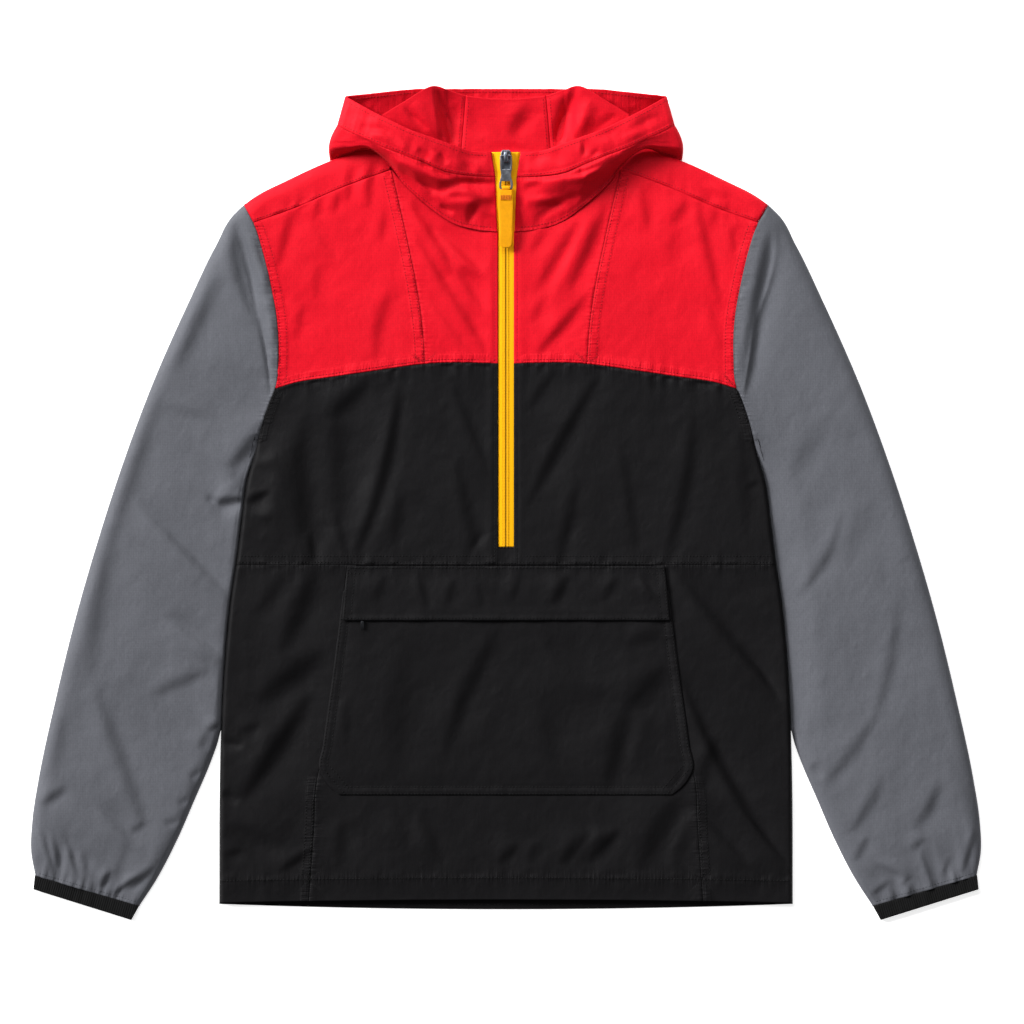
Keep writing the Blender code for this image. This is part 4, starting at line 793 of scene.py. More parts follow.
def coons(bottom, top, left, right, across, along):
    """A patch between four edges: the two ruled surfaces less the bilinear one of the corners."""
    s, t = np.meshgrid(across, along)
    corners = [f(np.float64(q)) for f, q in ((bottom, 0), (bottom, 1), (top, 0), (top, 1))]
    low, high, first, last = bottom(s), top(s), left(t), right(t)
    return [(1 - t) * low[k] + t * high[k] + (1 - s) * first[k] + s * last[k]
            - (1 - s) * (1 - t) * corners[0][k] - s * (1 - t) * corners[1][k]
            - (1 - s) * t * corners[2][k] - s * t * corners[3][k] for k in (0, 1)]


def mirrored(half, sign=-1):
    """A row from the middle outwards, joined to its mirror image; sign 1 keeps the values' signs."""
    return join(sign * half[:0:-1], half)


def draped(x, y, side, height):
    """Points at x (to one side) and y, on the given surface."""
    return np.stack([side * x, y, height(side * x, y)], axis=-1)


# %% [markdown]
# ## Finishes
#
# The cloth is a light woven nylon: matt, with a faint satin sheen at grazing light, a fine even weave
# and a crinkle of a few millimetres that never quite presses out. Its dye is a shade uneven, and along
# each seam its colour is darkened as painted shade in the groove. The elastic is ribbed, with painted
# shade in the hollows of its ribs and pleats; the zip is a tape of twill with a dark line painted in its
# middle as the shade where its two tapes meet, and the metal is a darkened nickel, lighter in cloudy
# patches.
#
# Shader arithmetic gets long when every node is added by hand, so a small class wraps a socket and
# lets it be added and multiplied like a number.

# %% Signals
class Signal:
    """One output of a node, which can be used in sums and products."""

    def __init__(self, tree, socket):
        self.tree, self.socket = tree, socket

    def math(self, operation, *others, first=None):
        """A math node on this signal and others; first goes before them where the order matters."""
        terms = (self if first is None else first, *others)
        return add_node(self.tree, "ShaderNodeMath", {"operation": operation}, dict(enumerate(terms)))

    def __add__(self, other):
        return self.math("ADD", other)

    def __sub__(self, other):
        return self.math("SUBTRACT", other)

    def __rsub__(self, other):
        return self.math("SUBTRACT", self, first=other)

    def __mul__(self, other):
        return self.math("MULTIPLY", other)

    __radd__, __rmul__ = __add__, __mul__

    def wave(self, length):
        """A sine of the given wavelength, from -1 to 1."""
        return (self * (2 * math.pi / length)).math("SINE")

    def between(self, low, high):
        """0 at low, 1 at high, smooth between."""
        settings = {"interpolation_type": "SMOOTHSTEP"}
        return add_node(self.tree, "ShaderNodeMapRange", settings,
                        {"Value": self, "From Min": low, "From Max": high})


def add_node(tree, kind, settings=None, inputs=None, output=0):
    """A node with its settings, and with values or signals on its inputs."""
    node = tree.nodes.new(kind)
    for key, value in (settings or {}).items():
        setattr(node, key, value)
    for key, value in (inputs or {}).items():
        if isinstance(value, Signal):
            tree.links.new(value.socket, node.inputs[key])
        else:
            node.inputs[key].default_value = value
    return Signal(tree, node.outputs[output])


# %% Materials and their usual nodes
def start_material(name, colour, roughness, **constants):
    """A principled material; gives the material, its shader and the object coordinates."""
    made = bpy.data.materials.new(name)
    made.use_nodes = True
    made.diffuse_color = (*colour, 1.0)
    tree = made.node_tree
    shader = tree.nodes["Principled BSDF"]
    shader.inputs["Base Color"].default_value = (*colour, 1.0)
    shader.inputs["Roughness"].default_value = roughness
    for key, value in constants.items():
        shader.inputs[key.replace("_", " ")].default_value = value
    place = add_node(tree, "ShaderNodeTexCoord", output="Object")
    return made, shader, place


def plug(signal, shader, name):
    """Joins a signal to one of the shader's sockets."""
    signal.tree.links.new(signal.socket, shader.inputs[name])


def noise(place, scale, detail=2.0, rough=0.5, kind="FBM", stretch=None):
    """Noise of about 1/scale metres; stretch scales the three axes first."""
    if stretch is not None:
        place = add_node(place.tree, "ShaderNodeVectorMath", {"operation": "MULTIPLY"},
                         {0: place, 1: stretch})
    return add_node(place.tree, "ShaderNodeTexNoise", {"noise_type": kind},
                    {"Vector": place, "Scale": scale, "Detail": detail, "Roughness": rough})


def mix(share, first, second):
    """Colour between first and second."""
    return add_node(share.tree, "ShaderNodeMix", {"data_type": "RGBA"},
                    {"Factor": share, 6: first, 7: second}, output=2)


def bump(height, distance, strength=1.0, under=None):
    """Normals of a height signal given in units of distance."""
    inputs = {"Height": height, "Distance": distance, "Strength": strength}
    if under is not None:
        inputs["Normal"] = under
    return add_node(height.tree, "ShaderNodeBump", {}, inputs)


def axes(place):
    """The three parts of a vector, as signals."""
    return [add_node(place.tree, "ShaderNodeSeparateXYZ", {}, {0: place}, output=k) for k in range(3)]


def shade(colour, factor):
    """A colour made lighter or darker by a factor, with full alpha."""
    return (*(min(1.0, channel * factor) for channel in colour), 1.0)


# %% Nylon
def nylon(name, colour, roughness, sheen, crinkle):
    """Plain weave of 0.45 mm threads under ridged creases of 7 mm and soft ones of 18 mm.

    The attribute "sewn" gives the place along the nearest seam and the distance from it: puckers die
    out like exp(-0.21 far), and a doubled allowance has finer rungs and two sunk rows. Within 1.5 mm
    of a seam the base colour darkens to 0.66 of the cloth's: painted shade in the seam's groove.
    """
    made, shader, place = start_material(
        name, colour, roughness, Sheen_Weight=sheen, Sheen_Roughness=0.45, Specular_IOR_Level=0.09)
    tree = place.tree
    x, y, _ = axes(place)
    cloudy = noise(place, 9.0, 3.0, 0.55)
    threads = noise(place, 900.0, 1.0)
    dots = (x + y).wave(0.0034) * (x - y).wave(0.0034)
    grain = noise(place, 620.0, 1.0, 0.5, "FBM", (1.0, 0.6, 1.0))
    share = (cloudy * 0.3 + threads * 0.2 + grain * 0.3 + dots * 0.1 + 0.1).between(0.25, 0.75)
    sewn = add_node(tree, "ShaderNodeAttribute", {"attribute_name": "sewn"}, output=1)
    along, far, doubled = axes(sewn)
    cloth = mix(share, shade(colour, 0.84), shade(colour, 1.14))
    # Near a seam the base colour darkens to 0.66 of the cloth's: painted shade in the seam's groove.
    plug(mix(far.between(0.1, 1.5), shade(colour, 0.66), cloth), shader, "Base Color")
    plug(roughness - 0.06 + noise(place, 60.0, 2.0) * 0.12, shader, "Roughness")
    weave = x.wave(0.00045) * y.wave(0.00045) * 0.5 + (x.wave(0.0009) + y.wave(0.0009)) * 0.1
    ridged = noise(place, 150.0, 3.0, 0.6, "RIDGED_MULTIFRACTAL", (1.0, 0.8, 1.0))
    soft = noise(place, 55.0, 2.0, 0.5, "FBM", (1.0, 0.7, 1.0))
    creased = bump(ridged * 0.25 + soft, 0.0011 * crinkle, 0.8)
    spread = add_node(tree, "ShaderNodeCombineXYZ", {}, {0: along * 0.27, 1: far * 0.035})
    ripple = add_node(tree, "ShaderNodeTexNoise", {}, {"Vector": spread, "Scale": 1.0, "Detail": 2.0})
    fade = (far * -0.21).math("EXPONENT")
    ladder = add_node(tree, "ShaderNodeCombineXYZ", {}, {0: along * 0.6, 1: far * 0.08})
    rungs = add_node(tree, "ShaderNodeTexNoise", {}, {"Vector": ladder, "Scale": 1.0, "Detail": 1.0})
    first_row = 1.0 - (far - 2.4).math("ABSOLUTE").between(0.2, 1.1)
    second_row = 1.0 - (far - 8.8).math("ABSOLUTE").between(0.2, 1.1)
    sunk = (first_row + second_row) * -0.35
    drawn = bump(ripple * fade, 0.0018 * crinkle, 1.0, creased)
    drawn = bump((rungs * 1.6 + sunk) * doubled, 0.00042, 1.0, drawn)
    plug(bump(weave + dots * 0.6, 0.00005, 0.6, drawn), shader, "Normal")
    return made


RED = (0.635, 0.0042, 0.0150)
BLACK = (0.0057, 0.0053, 0.0060)
GREY = (0.102, 0.105, 0.1195)
red_nylon = nylon("red shell nylon", RED, 0.58, 0.02, 0.9)
black_nylon = nylon("black shell nylon", BLACK, 0.58, 0.02, 1.0)
grey_nylon = nylon("grey shell nylon", GREY, 0.55, 0.02, 1.0)
CLOTHS = (red_nylon, black_nylon, grey_nylon)
print("nylons:", [cloth.name for cloth in CLOTHS])


# %% Elastic
def ribbed(name, colour):
    """Elastic: ribs of 2.2 mm that run down the cuff, with a fine knit across them."""
    made, shader, place = start_material(name, colour, 0.85, Sheen_Weight=0.04,
                                         Specular_IOR_Level=0.15)
    x, y, _ = axes(place)
    side = x.math("ABSOLUTE")
    along = side * 0.96 + y * 0.28
    down = y * 0.96 - side * 0.28
    rib = along.wave(0.0022)
    knit = down.wave(0.0008)
    soft = noise(place, 110.0, 2.0, 0.5, "FBM", (1.0, 0.3, 1.0))
    # The colour follows the ribs and soft pleats of the bump, darker where they sink: painted shade in
    # their hollows.
    share = rib.between(-1.0, 1.0) * 0.4 + soft * 0.6
    plug(mix(share, shade(colour, 0.6), shade(colour, 1.5)), shader, "Base Color")
    plug(0.8 + noise(place, 700.0) * 0.12, shader, "Roughness")
    ribs = bump(rib * 0.4 + soft * 2.4, 0.0005, 0.9)
    plug(bump(knit, 0.0001, 0.5, ribs), shader, "Normal")
    return made


elastic = ribbed("black rib elastic", (0.0036, 0.0036, 0.0038))
print("elastic:", elastic.name)


# %% Zip tape
def zip_tape(name, colour):
    """Twill tape: painted shade where its two halves meet, and two rows of coil stitches beside it."""
    made, shader, place = start_material(name, colour, 0.7, Specular_IOR_Level=0.12)
    x, y, _ = axes(place)
    side = x.math("ABSOLUTE")
    line = 1.0 - side.between(0.0002, 0.0007)
    row = 1.0 - (side - 0.0031).math("ABSOLUTE").between(0.0003, 0.0009)
    dots = row * y.wave(0.0015).between(-0.2, 0.5)
    ribs = (1.0 - side.between(0.0026, 0.0032)) * y.wave(0.0015).between(-0.8, 0.2)
    twill = (x + y * 0.7).wave(0.0007) * 0.5 + 0.5
    base = mix(twill * 0.5 + noise(place, 300.0) * 0.4, shade(colour, 0.94), shade(colour, 1.2))
    base = mix(ribs * 0.35, base, shade(colour, 0.55))
    base = mix(dots * 0.5, base, shade(colour, 0.4))
    # The thin middle strip is painted near black: the shade in the gap where the two tapes meet.
    plug(mix(line * 0.9, base, (0.03, 0.014, 0.004, 1.0)), shader, "Base Color")
    plug(0.62 + twill * 0.12, shader, "Roughness")
    coil = bump(ribs * 0.6 - dots * 0.8 - line * 1.6, 0.0004, 1.0)
    plug(bump(twill, 0.00007, 0.6, coil), shader, "Normal")
    return made


tape_finish = zip_tape("yellow zip tape", (0.92, 0.42, 0.002))
print("tape:", tape_finish.name)


# %% Webbing
def webbing(name, colour):
    """Narrow woven tape: cross ribs of 1.1 mm over warp threads of 0.9 mm."""
    made, shader, place = start_material(name, colour, 0.7, Specular_IOR_Level=0.12)
    x, y, _ = axes(place)
    rib = y.wave(0.0011) * 0.5 + 0.5
    share = rib * 0.4 + noise(place, 260.0, 2.0) * 0.6
    plug(mix(share, shade(colour, 0.72), shade(colour, 1.08)), shader, "Base Color")
    plug(0.64 + rib * 0.12, shader, "Roughness")
    plug(bump(rib + x.wave(0.0009) * 0.3, 0.00018, 0.9), shader, "Normal")
    return made


webbing_finish = webbing("yellow webbing", (0.92, 0.375, 0.002))
print("webbing:", webbing_finish.name)


# %% Metals
def dark_metal(name, colour):
    """Plated or lacquered metal: brushed along y, with cloudy lighter patches."""
    made, shader, place = start_material(name, colour, 0.34, Metallic=0.92)
    brushed = noise(place, 500.0, 2.0, 0.5, "FBM", (4.0, 0.25, 1.0))
    worn = noise(place, 180.0, 3.0, 0.6)
    plug(mix(worn.between(0.35, 0.75), shade(colour, 0.75), shade(colour, 1.5)), shader, "Base Color")
    plug(0.26 + brushed * 0.2, shader, "Roughness")
    plug(bump(brushed, 0.00002, 0.5), shader, "Normal")
    return made


metal_finish = dark_metal("darkened nickel", (0.17, 0.19, 0.23))
pull_finish = dark_metal("brushed nickel", (0.34, 0.36, 0.40))
lacquer = dark_metal("black lacquered zinc", (0.035, 0.036, 0.040))
print("metals:", metal_finish.name, pull_finish.name, lacquer.name)


# %% Threads
def thread(name, colour):
    """Spun polyester thread: a fine slanting twist."""
    made, shader, place = start_material(name, colour, 0.6, Specular_IOR_Level=0.2)
    x, y, _ = axes(place)
    twist = (x + y).wave(0.0005) * 0.5 + 0.5
    plug(mix(twist, shade(colour, 0.75), shade(colour, 1.2)), shader, "Base Color")
    plug(0.55 + twist * 0.15, shader, "Roughness")
    plug(bump(twist, 0.00005, 0.7), shader, "Normal")
    return made


black_thread = thread("black thread", (0.0014, 0.0014, 0.0016))
# The red thread is darker than the red cloth: its own red, darkened further to paint the shade in the
# stitch holes.
red_thread = thread("red thread", (0.34, 0.003, 0.010))
grey_thread = thread("grey thread", (0.05, 0.052, 0.06))
tack_thread = thread("orange thread", (0.62, 0.16, 0.006))
print("finishes:", len(bpy.data.materials))

# %% [markdown]
# ## Front of the body
#
# The front is cut in eight panels: a black chest with the zip set into its slot, four red yoke
# panels, and below the waist a centre and two sides. The kangaroo pocket and its flap lie on top. Each
# is a patch between its own seams, with rows close together where it is sewn.
#
# Where a panel's width depends on y and its rows bend with x, a few rounds of both settle the grid.

# %% Chest
PITCH = 2.1  # mesh of the front, in millimetres
ROUNDS = 4   # rounds that settle a grid


def panel(name, x, y, side, height, finish):
    """A panel of the front on a height surface, which knows its nearest seams."""
    return shell(name, draped(x, y, side, height), finish, sewn=nearest_seam(side * x, y))


def placket_height(x, y):
    """The front, with the edges beside the zip turned under and topstitched."""
    far = np.abs(x) - ZIP_HALF
    there = soft_step((y - ZIP_END_Y + 18) / 6)
    edge = 0.55 * bell(far, 1.0) + 0.45 * bell(far - 3.4, 1.2)
    ripple = 0.16 * swells(y + 600 * np.sign(x), 0 * y, 5.5, 97) * np.exp(-np.abs(far - 4) / 5)
    return front_height(x, y) - there * (edge - 0.3 * bell(far - 7, 4) - ripple)


def make_chest():
    """The chest runs round the zip: two columns meet below it, and between them is the slot."""
    half = join([1e-6], fine(222.0, PITCH)[1:])
    low, bottom = WAIST_Y, ZIP_END_Y
    lower = fine(bottom - low, PITCH)[:-1] * (bottom - low)
    upper = fine(183.0, PITCH)
    s, row = np.meshgrid(join(-half[::-1], half), np.arange(len(lower) + len(upper)))
    x = np.sign(s) * (ZIP_HALF + np.abs(s) * (CHEST_SEAM_HALF - ZIP_HALF))
    share = join(lower, upper)[row]
    above = row >= len(lower)
    for _ in range(ROUNDS):
        y = np.where(above, bottom + (chest_seam(x) - bottom) * share, low + share)
        x = np.sign(s) * (ZIP_HALF + np.abs(s) * (side_edge(y) - ZIP_HALF))
    keep = np.ones((s.shape[0] - 1, s.shape[1] - 1), bool)
    keep[len(lower):, s.shape[1] // 2 - 1] = False
    return shell("chest cloth", draped(x, y, 1, placket_height), black_nylon, keep=keep,
                 sewn=nearest_seam(x, y))


chest = make_chest()
print("chest:", TRIANGLES["chest cloth"], "triangles")


# %% Yoke
def make_yoke():
    """Each half has a panel beside the zip and one beside the armhole; the princess seam parts them."""
    made = {}
    foot_y = chest_seam(PRINCESS_FOOT)
    for word, side in SIDES:
        x, y = coons(along_x(chest_seam, ZIP_HALF, PRINCESS_FOOT), through(NECKLINE),
                     straight((ZIP_HALF, chest_seam(ZIP_HALF)), (ZIP_HALF, NECKLINE[0][1])),
                     along_y(princess, foot_y, NECK_CORNER[1]),
                     fine(80.0, PITCH), fine(150.0, PITCH))
        made["centre_" + word] = panel(f"yoke centre {word}", x, y, side, placket_height, red_nylon)
        x, y = coons(along_x(chest_seam, PRINCESS_FOOT, CHEST_SEAM_HALF), through(SHOULDER_SEAM),
                     along_y(princess, foot_y, NECK_CORNER[1]),
                     along_y(side_edge, YOKE_SIDE_Y, SHOULDER_SEAM[-1][1]),
                     fine(145.0, PITCH), fine(180.0, PITCH))
        made["side_" + word] = panel(f"yoke side {word}", x, y, side, front_height, red_nylon)
    return made


yoke = make_yoke()
print("yoke panels:", list(yoke))


# %% Lower front
def make_lower_front():
    """The centre panel keeps clear of the pocket on it; the side panels reach to the side seams."""
    made = {}
    s, t = np.meshgrid(2 * fine(350.0, PITCH) - 1, fine(335.0, PITCH))
    x = s * 190
    for _ in range(ROUNDS):
        y = hem(x) + (WAIST_Y - hem(x)) * t
        x = s * lower_seam(y)
    made["centre"] = panel("lower centre cloth", x, y, 1, under_pocket_height, black_nylon)
    y_low = hem(192.0)      # the seam between the panels meets the hem near x = 192
    waist = straight((lower_seam(WAIST_Y), WAIST_Y), (side_edge(WAIST_Y), WAIST_Y))
    for word, side in SIDES:
        x, y = coons(along_x(hem, lower_seam(y_low), HEM_HALF), waist,
                     along_y(lower_seam, y_low, WAIST_Y),
                     along_y(side_edge, hem(HEM_HALF), WAIST_Y),
                     fine(102.0, PITCH), fine(335.0, PITCH))
        made[word] = panel(f"lower side {word}", x, y, side, front_height, black_nylon)
    return made


lower = make_lower_front()
print("lower panels:", list(lower))


# %% Pocket and flap
def make_pocket():
    """The pocket between its side edges; its own stitching is the seam that its cloth puckers along."""
    s, t = np.meshgrid(2 * fine(350.0, PITCH) - 1, fine(204.0, PITCH))
    y = POCKET_LOW_Y + (POCKET_OPEN_Y - POCKET_LOW_Y) * t
    x = s * pocket_side(y)
    inside = 5.0 + np.abs(pocket_edge(x, y) - 5.0)
    beside = pocket_side(y) - np.abs(x) < y - POCKET_LOW_Y
    along = np.where(beside, y + 500 * np.sign(x), x)
    return shell("pocket cloth", draped(x, y, 1, pocket_height), black_nylon, sewn=(along, inside))


def make_flap():
    """The flap hangs from the waist seam, a little wider at its lower edge."""
    s, t = np.meshgrid(2 * fine(322.0, PITCH) - 1, fine(54.0, 2.0))
    y = WAIST_Y - 0.7 + (FLAP_Y - WAIST_Y) * t
    x = s * (FLAP_TOP + (FLAP_BOTTOM - FLAP_TOP) * t)
    return shell("flap cloth", draped(x, y, 1, flap_height), black_nylon, wall=1.0,
                 sewn=(x, np.minimum(WAIST_Y - y, 1.6 * (y - FLAP_Y) + 6)))


pocket = make_pocket()
flap = make_flap()
print("on the front lie:", pocket.name, flap.name)

# %% [markdown]
# ## Back of the body
#
# The back lies on the table. Its black panel is a little longer than the front, so its hem shows
# below the front's as a dark strip. The red yoke of the back comes over the shoulders to a forward
# seam on the front.

# %% Lower back
def make_back_lower():
    """The black back, with columns close together where its side edges roll up."""
    half = join(np.linspace(0, 1, 56)[:-1], [0.992, 0.996, 0.999, 1.0])
    s, t = np.meshgrid(mirrored(half), fine(515.0, 5.0, (1.5, 3.0), (1.5, 3.0)))
    x = s * 270.0
    for _ in range(ROUNDS):
        y = back_hem(x) + (YOKE_SIDE_Y - back_hem(x)) * t
        x = s * side_edge(y)
    return shell("back cloth", draped(x, y, 1, under_height), black_nylon, facing=(0, 0, -1))


back = make_back_lower()
print("lower back:", back.name)


# %% Back yoke
def make_back_yoke():
    """One grid from the seam below, over the shoulders, to the forward shoulder seam.

    Its strips over the neck are left out. At the fold both faces share a level normal.
    """
    fold = through((NECK_SIDE, (140.0, 355.2), (176.0, 342.0), (220.5, 322.0), (251.5, 306.0),
                    (outer_edge(SHOULDER_TIP_Y), SHOULDER_TIP_Y)))
    wing, nape = np.linspace(0, 1, 60), np.linspace(0, 1, 24)
    wing_x, wing_y = fold(wing)
    nape_x = NECK_SIDE[0] * nape
    nape_y = NAPE_Y + (NECK_SIDE[1] - NAPE_Y) * nape ** 2.2
    top_x = mirrored(join(nape_x, wing_x[1:]))
    top_y = mirrored(join(nape_y, wing_y[1:]), 1)
    low_x = top_x / top_x.max() * side_edge(YOKE_SIDE_Y)
    t = join(np.linspace(0, 0.97, 42), [0.98, 0.988, 0.994, 0.998, 1.0])[:, None]
    y = YOKE_SIDE_Y + (top_y - YOKE_SIDE_Y) * t
    at_side = np.abs(low_x) == np.abs(low_x).max()
    x = np.where(at_side, np.sign(low_x) * side_edge(y), low_x + (top_x - low_x) * t)
    under = draped(x, y, 1, under_height)
    seam_x, seam_y = through(SHOULDER_SEAM)(wing)
    front_x = mirrored(join(nape_x, seam_x[1:]))
    front_y = mirrored(join(nape_y - 5, seam_y[1:]), 1)
    t = join([0, 0.01, 0.04, 0.09, 0.16, 0.25], np.linspace(0.32, 1, 12))[:, None]
    y = top_y + (front_y - top_y) * t
    x = np.where(at_side, np.sign(top_x) * side_edge(y), top_x + (front_x - top_x) * t)
    over = draped(x, y, 1, front_height)
    grid = join(under, over)
    keep = np.ones((grid.shape[0] - 1, grid.shape[1] - 1), bool)
    middle, reach = grid.shape[1] // 2, len(nape_x) - 1
    keep[len(under) - 1:, middle - reach:middle + reach] = False
    out_under, out_over = normals(under, (0, 0, -1)), normals(over, (0, 0, 1))
    wings = np.abs(top_x) >= NECK_SIDE[0] - 1e-6
    level = out_over[0, wings] * (1.0, 1.0, 0.0)
    level /= np.maximum(np.linalg.norm(level, axis=1, keepdims=True), 1e-9)
    out_over[0, wings] = out_under[-1, wings] = level
    inner = grid - join(out_under, out_over) * WALL
    return shell("back yoke cloth", grid, red_nylon, keep=keep, inner=inner)


back_yoke = make_back_yoke()
print("back yoke:", back_yoke.name)

# %% [markdown]
# ## Sleeves and cuffs
#
# A sleeve that lies flat is a tube pressed to two layers: one grid runs over its upper face and back
# along the lower one, as a closed ring. The elastic cuff is a short thick ring that draws the
# sleeve's end into small pleats.

# %% Sleeves
def ring_grid(across_top, across_under, along, inner, outer, start, end, side, top, under):
    """Rings round a flat tube: over its upper face and back along its lower face."""
    x, y = coons(start, end, inner, outer, across_top, along)
    over = draped(x, y, side, top)
    x, y = coons(start, end, inner, outer, across_under[::-1], along)
    return join(over, draped(x, y, side, under), axis=1)


def make_sleeve(word, side):
    """A sleeve from the armhole down into the cuff; its mesh is finer on the upper face."""
    inner_low, outer_low = (366.8, -403.4), (471.3, -372.9)
    across_top = fine(125.0, 2.3, (0.15, 0.8, 2.0, 3.1, 4.2, 5.6), (0.15, 0.8, 2.0, 4.0))
    down = fine(650.0, 2.8, (0.9, 1.6, 2.4, 4.0))[::-1]
    across_under = fine(125.0, 6.0, (0.15, 0.8, 2.5), (0.15, 0.8, 2.5))
    grid = ring_grid(across_top, across_under, down,
                     along_y(sleeve_inner, UNDERARM_Y, inner_low[1]),
                     along_y(outer_edge, SHOULDER_TIP_Y + 1.2, outer_low[1]),
                     along_y(side_edge, UNDERARM_Y, SHOULDER_TIP_Y + 1.2, -1.6),
                     straight(inner_low, outer_low), side, sleeve_height, sleeve_under_height)
    x, y = grid[..., 0], grid[..., 1]
    armhole = np.abs(np.abs(x) - side_edge(y)) + AWAY * (1 - above_underarm(y))
    along, up = cuff_place(x, y, side)
    sewn = (np.where(armhole < up, y, along * CUFF_SPAN), np.minimum(armhole, np.maximum(up, 0)))
    return shell(f"sleeve cloth {word}", grid, grey_nylon, ring=True, sewn=sewn)


sleeves = {word: make_sleeve(word, side) for word, side in SIDES}
print("sleeves:", [piece.name for piece in sleeves.values()])


# %% Cuffs
def cuff_half(x, y, side):
    """Half the thickness of the elastic, rounded at its ends and rippled by its gathers."""
    along, _ = cuff_place(x, y, side)
    far = np.minimum(along, 1 - along) * CUFF_LENGTH
    ripple = 0.35 * swells(along * PLEAT_SPAN, 0 * x, 4.2, 67 + side)
    return 0.2 + (2.3 + ripple) * rolled(np.maximum(far, 0) + 0.02, 5.0)


def make_cuff(word, side):
    """The elastic ring on the sleeve's end, thick at its middle."""
    across = fine(CUFF_SPAN, 1.2, (0.3, 0.9), (0.3, 0.9))
    corner_a, corner_b, corner_c, corner_d = *CUFF_TOP, *CUFF_END
    middle = 2.75
    grid = ring_grid(across, across, np.linspace(0, 1, 11),
                     straight(corner_a, corner_c), straight(corner_b, corner_d),
                     straight(corner_a, corner_b), straight(corner_c, corner_d), side,
                     lambda a, b: middle + cuff_half(a, b, side),
                     lambda a, b: middle - cuff_half(a, b, side))
    return shell(f"cuff elastic {word}", grid, elastic, wall=1.0, ring=True)


cuffs = {word: make_cuff(word, side) for word, side in SIDES}
print("cuffs:", [piece.name for piece in cuffs.values()])

# %% [markdown]
# ## Hood
#
# The hood is turned forward over the neckline. From the zip outwards its outer side swells up from
# the neck seam, a narrow band follows the face opening, and behind that we look into the hood: a
# centre panel with a side panel on each hand, up to the fold where the crown turns under. Each
# station of the tables is one cut through the hood, from its lowest line to its rim. The last station
# turns the hood's tip under the crown, down to the table.

# %% Stations of the outer hood
STATION_PITCH = 26.0       # millimetres between two stations, near enough
HOOD_CLEAR = 0.6           # the outer hood keeps this far above the table
HOOD_COLUMNS = ("low_x", "low_y", "low_z", "belly_z", "seam_x", "seam_y", "seam_z",
                "rim_x", "rim_y", "rim_z")
HOOD_STATIONS = (
    (8.6, 271.8, 9.6, 15.5, 10.5, 325.0, 19.0, 14.5, 350.0, 20.0),
    (30.0, 274.0, 9.8, 18.0, 34.0, 326.0, 22.0, 34.5, 351.0, 22.5),
    (54.0, 281.0, 9.9, 21.5, 59.0, 329.5, 26.5, 53.5, 357.0, 27.5),
    (78.0, 297.5, 10.2, 25.0, 80.0, 338.0, 30.0, 75.0, 364.5, 31.0),
    (101.5, 319.0, 10.4, 27.0, 103.0, 347.0, 32.5, 95.0, 371.5, 33.0),
    (116.0, 338.0, 10.6, 26.5, 122.0, 354.0, 33.0, 113.0, 380.0, 33.0),
    (138.0, 353.5, 10.0, 22.0, 140.0, 362.5, 30.5, 132.0, 389.5, 30.0),
    (158.0, 348.0, 5.6, 16.0, 156.5, 370.0, 26.5, 148.0, 398.5, 25.0),
    (175.2, 342.5, 4.4, 8.5, 168.0, 377.0, 20.0, 160.3, 405.6, 16.0),
    (173.2, 344.5, 0.8, 0.8, 163.8, 377.5, 0.8, 156.6, 400.5, 0.8))
print("stations:", len(HOOD_STATIONS))

# %% Stations of the inside and of the far band
INSIDE_COLUMNS = ("nape_x", "nape_y", "nape_z", "low_z", "mid_z", "fold_x", "fold_y", "fold_z")
INSIDE_STATIONS = (
    (0.0, 344.4, 4.8, 5.4, 7.0, 0.0, 403.4, 10.0),
    (22.0, 345.2, 4.8, 5.4, 7.2, 20.0, 404.5, 10.4),
    (46.0, 347.6, 4.8, 5.6, 7.6, 41.0, 407.2, 11.5),
    (56.0, 349.2, 4.8, 6.6, 9.0, 58.0, 412.5, 15.0),
    (66.0, 351.0, 5.0, 12.5, 16.5, 75.0, 415.5, 20.5),
    (88.0, 356.0, 5.4, 13.5, 18.0, 100.0, 401.5, 20.0),
    (109.0, 362.6, 6.2, 13.0, 17.0, 124.0, 387.0, 18.0))
BACK_BAND_COLUMNS = ("low_x", "low_y", "low_z", "top_x", "top_y", "top_z")
BACK_BAND_STATIONS = (
    (0.0, 392.0, 4.8, 0.0, 414.2, 5.6),
    (30.0, 392.0, 4.8, 30.0, 414.0, 5.6),
    (60.0, 394.0, 4.8, 60.0, 413.4, 5.8),
    (92.0, 390.0, 4.8, 90.0, 413.2, 6.4),
    (122.0, 384.0, 4.9, 118.0, 410.3, 8.0),
    (155.8, 391.5, 1.2, 159.8, 405.6, 8.4))
print("stations inside:", len(INSIDE_STATIONS), "far band:", len(BACK_BAND_STATIONS))

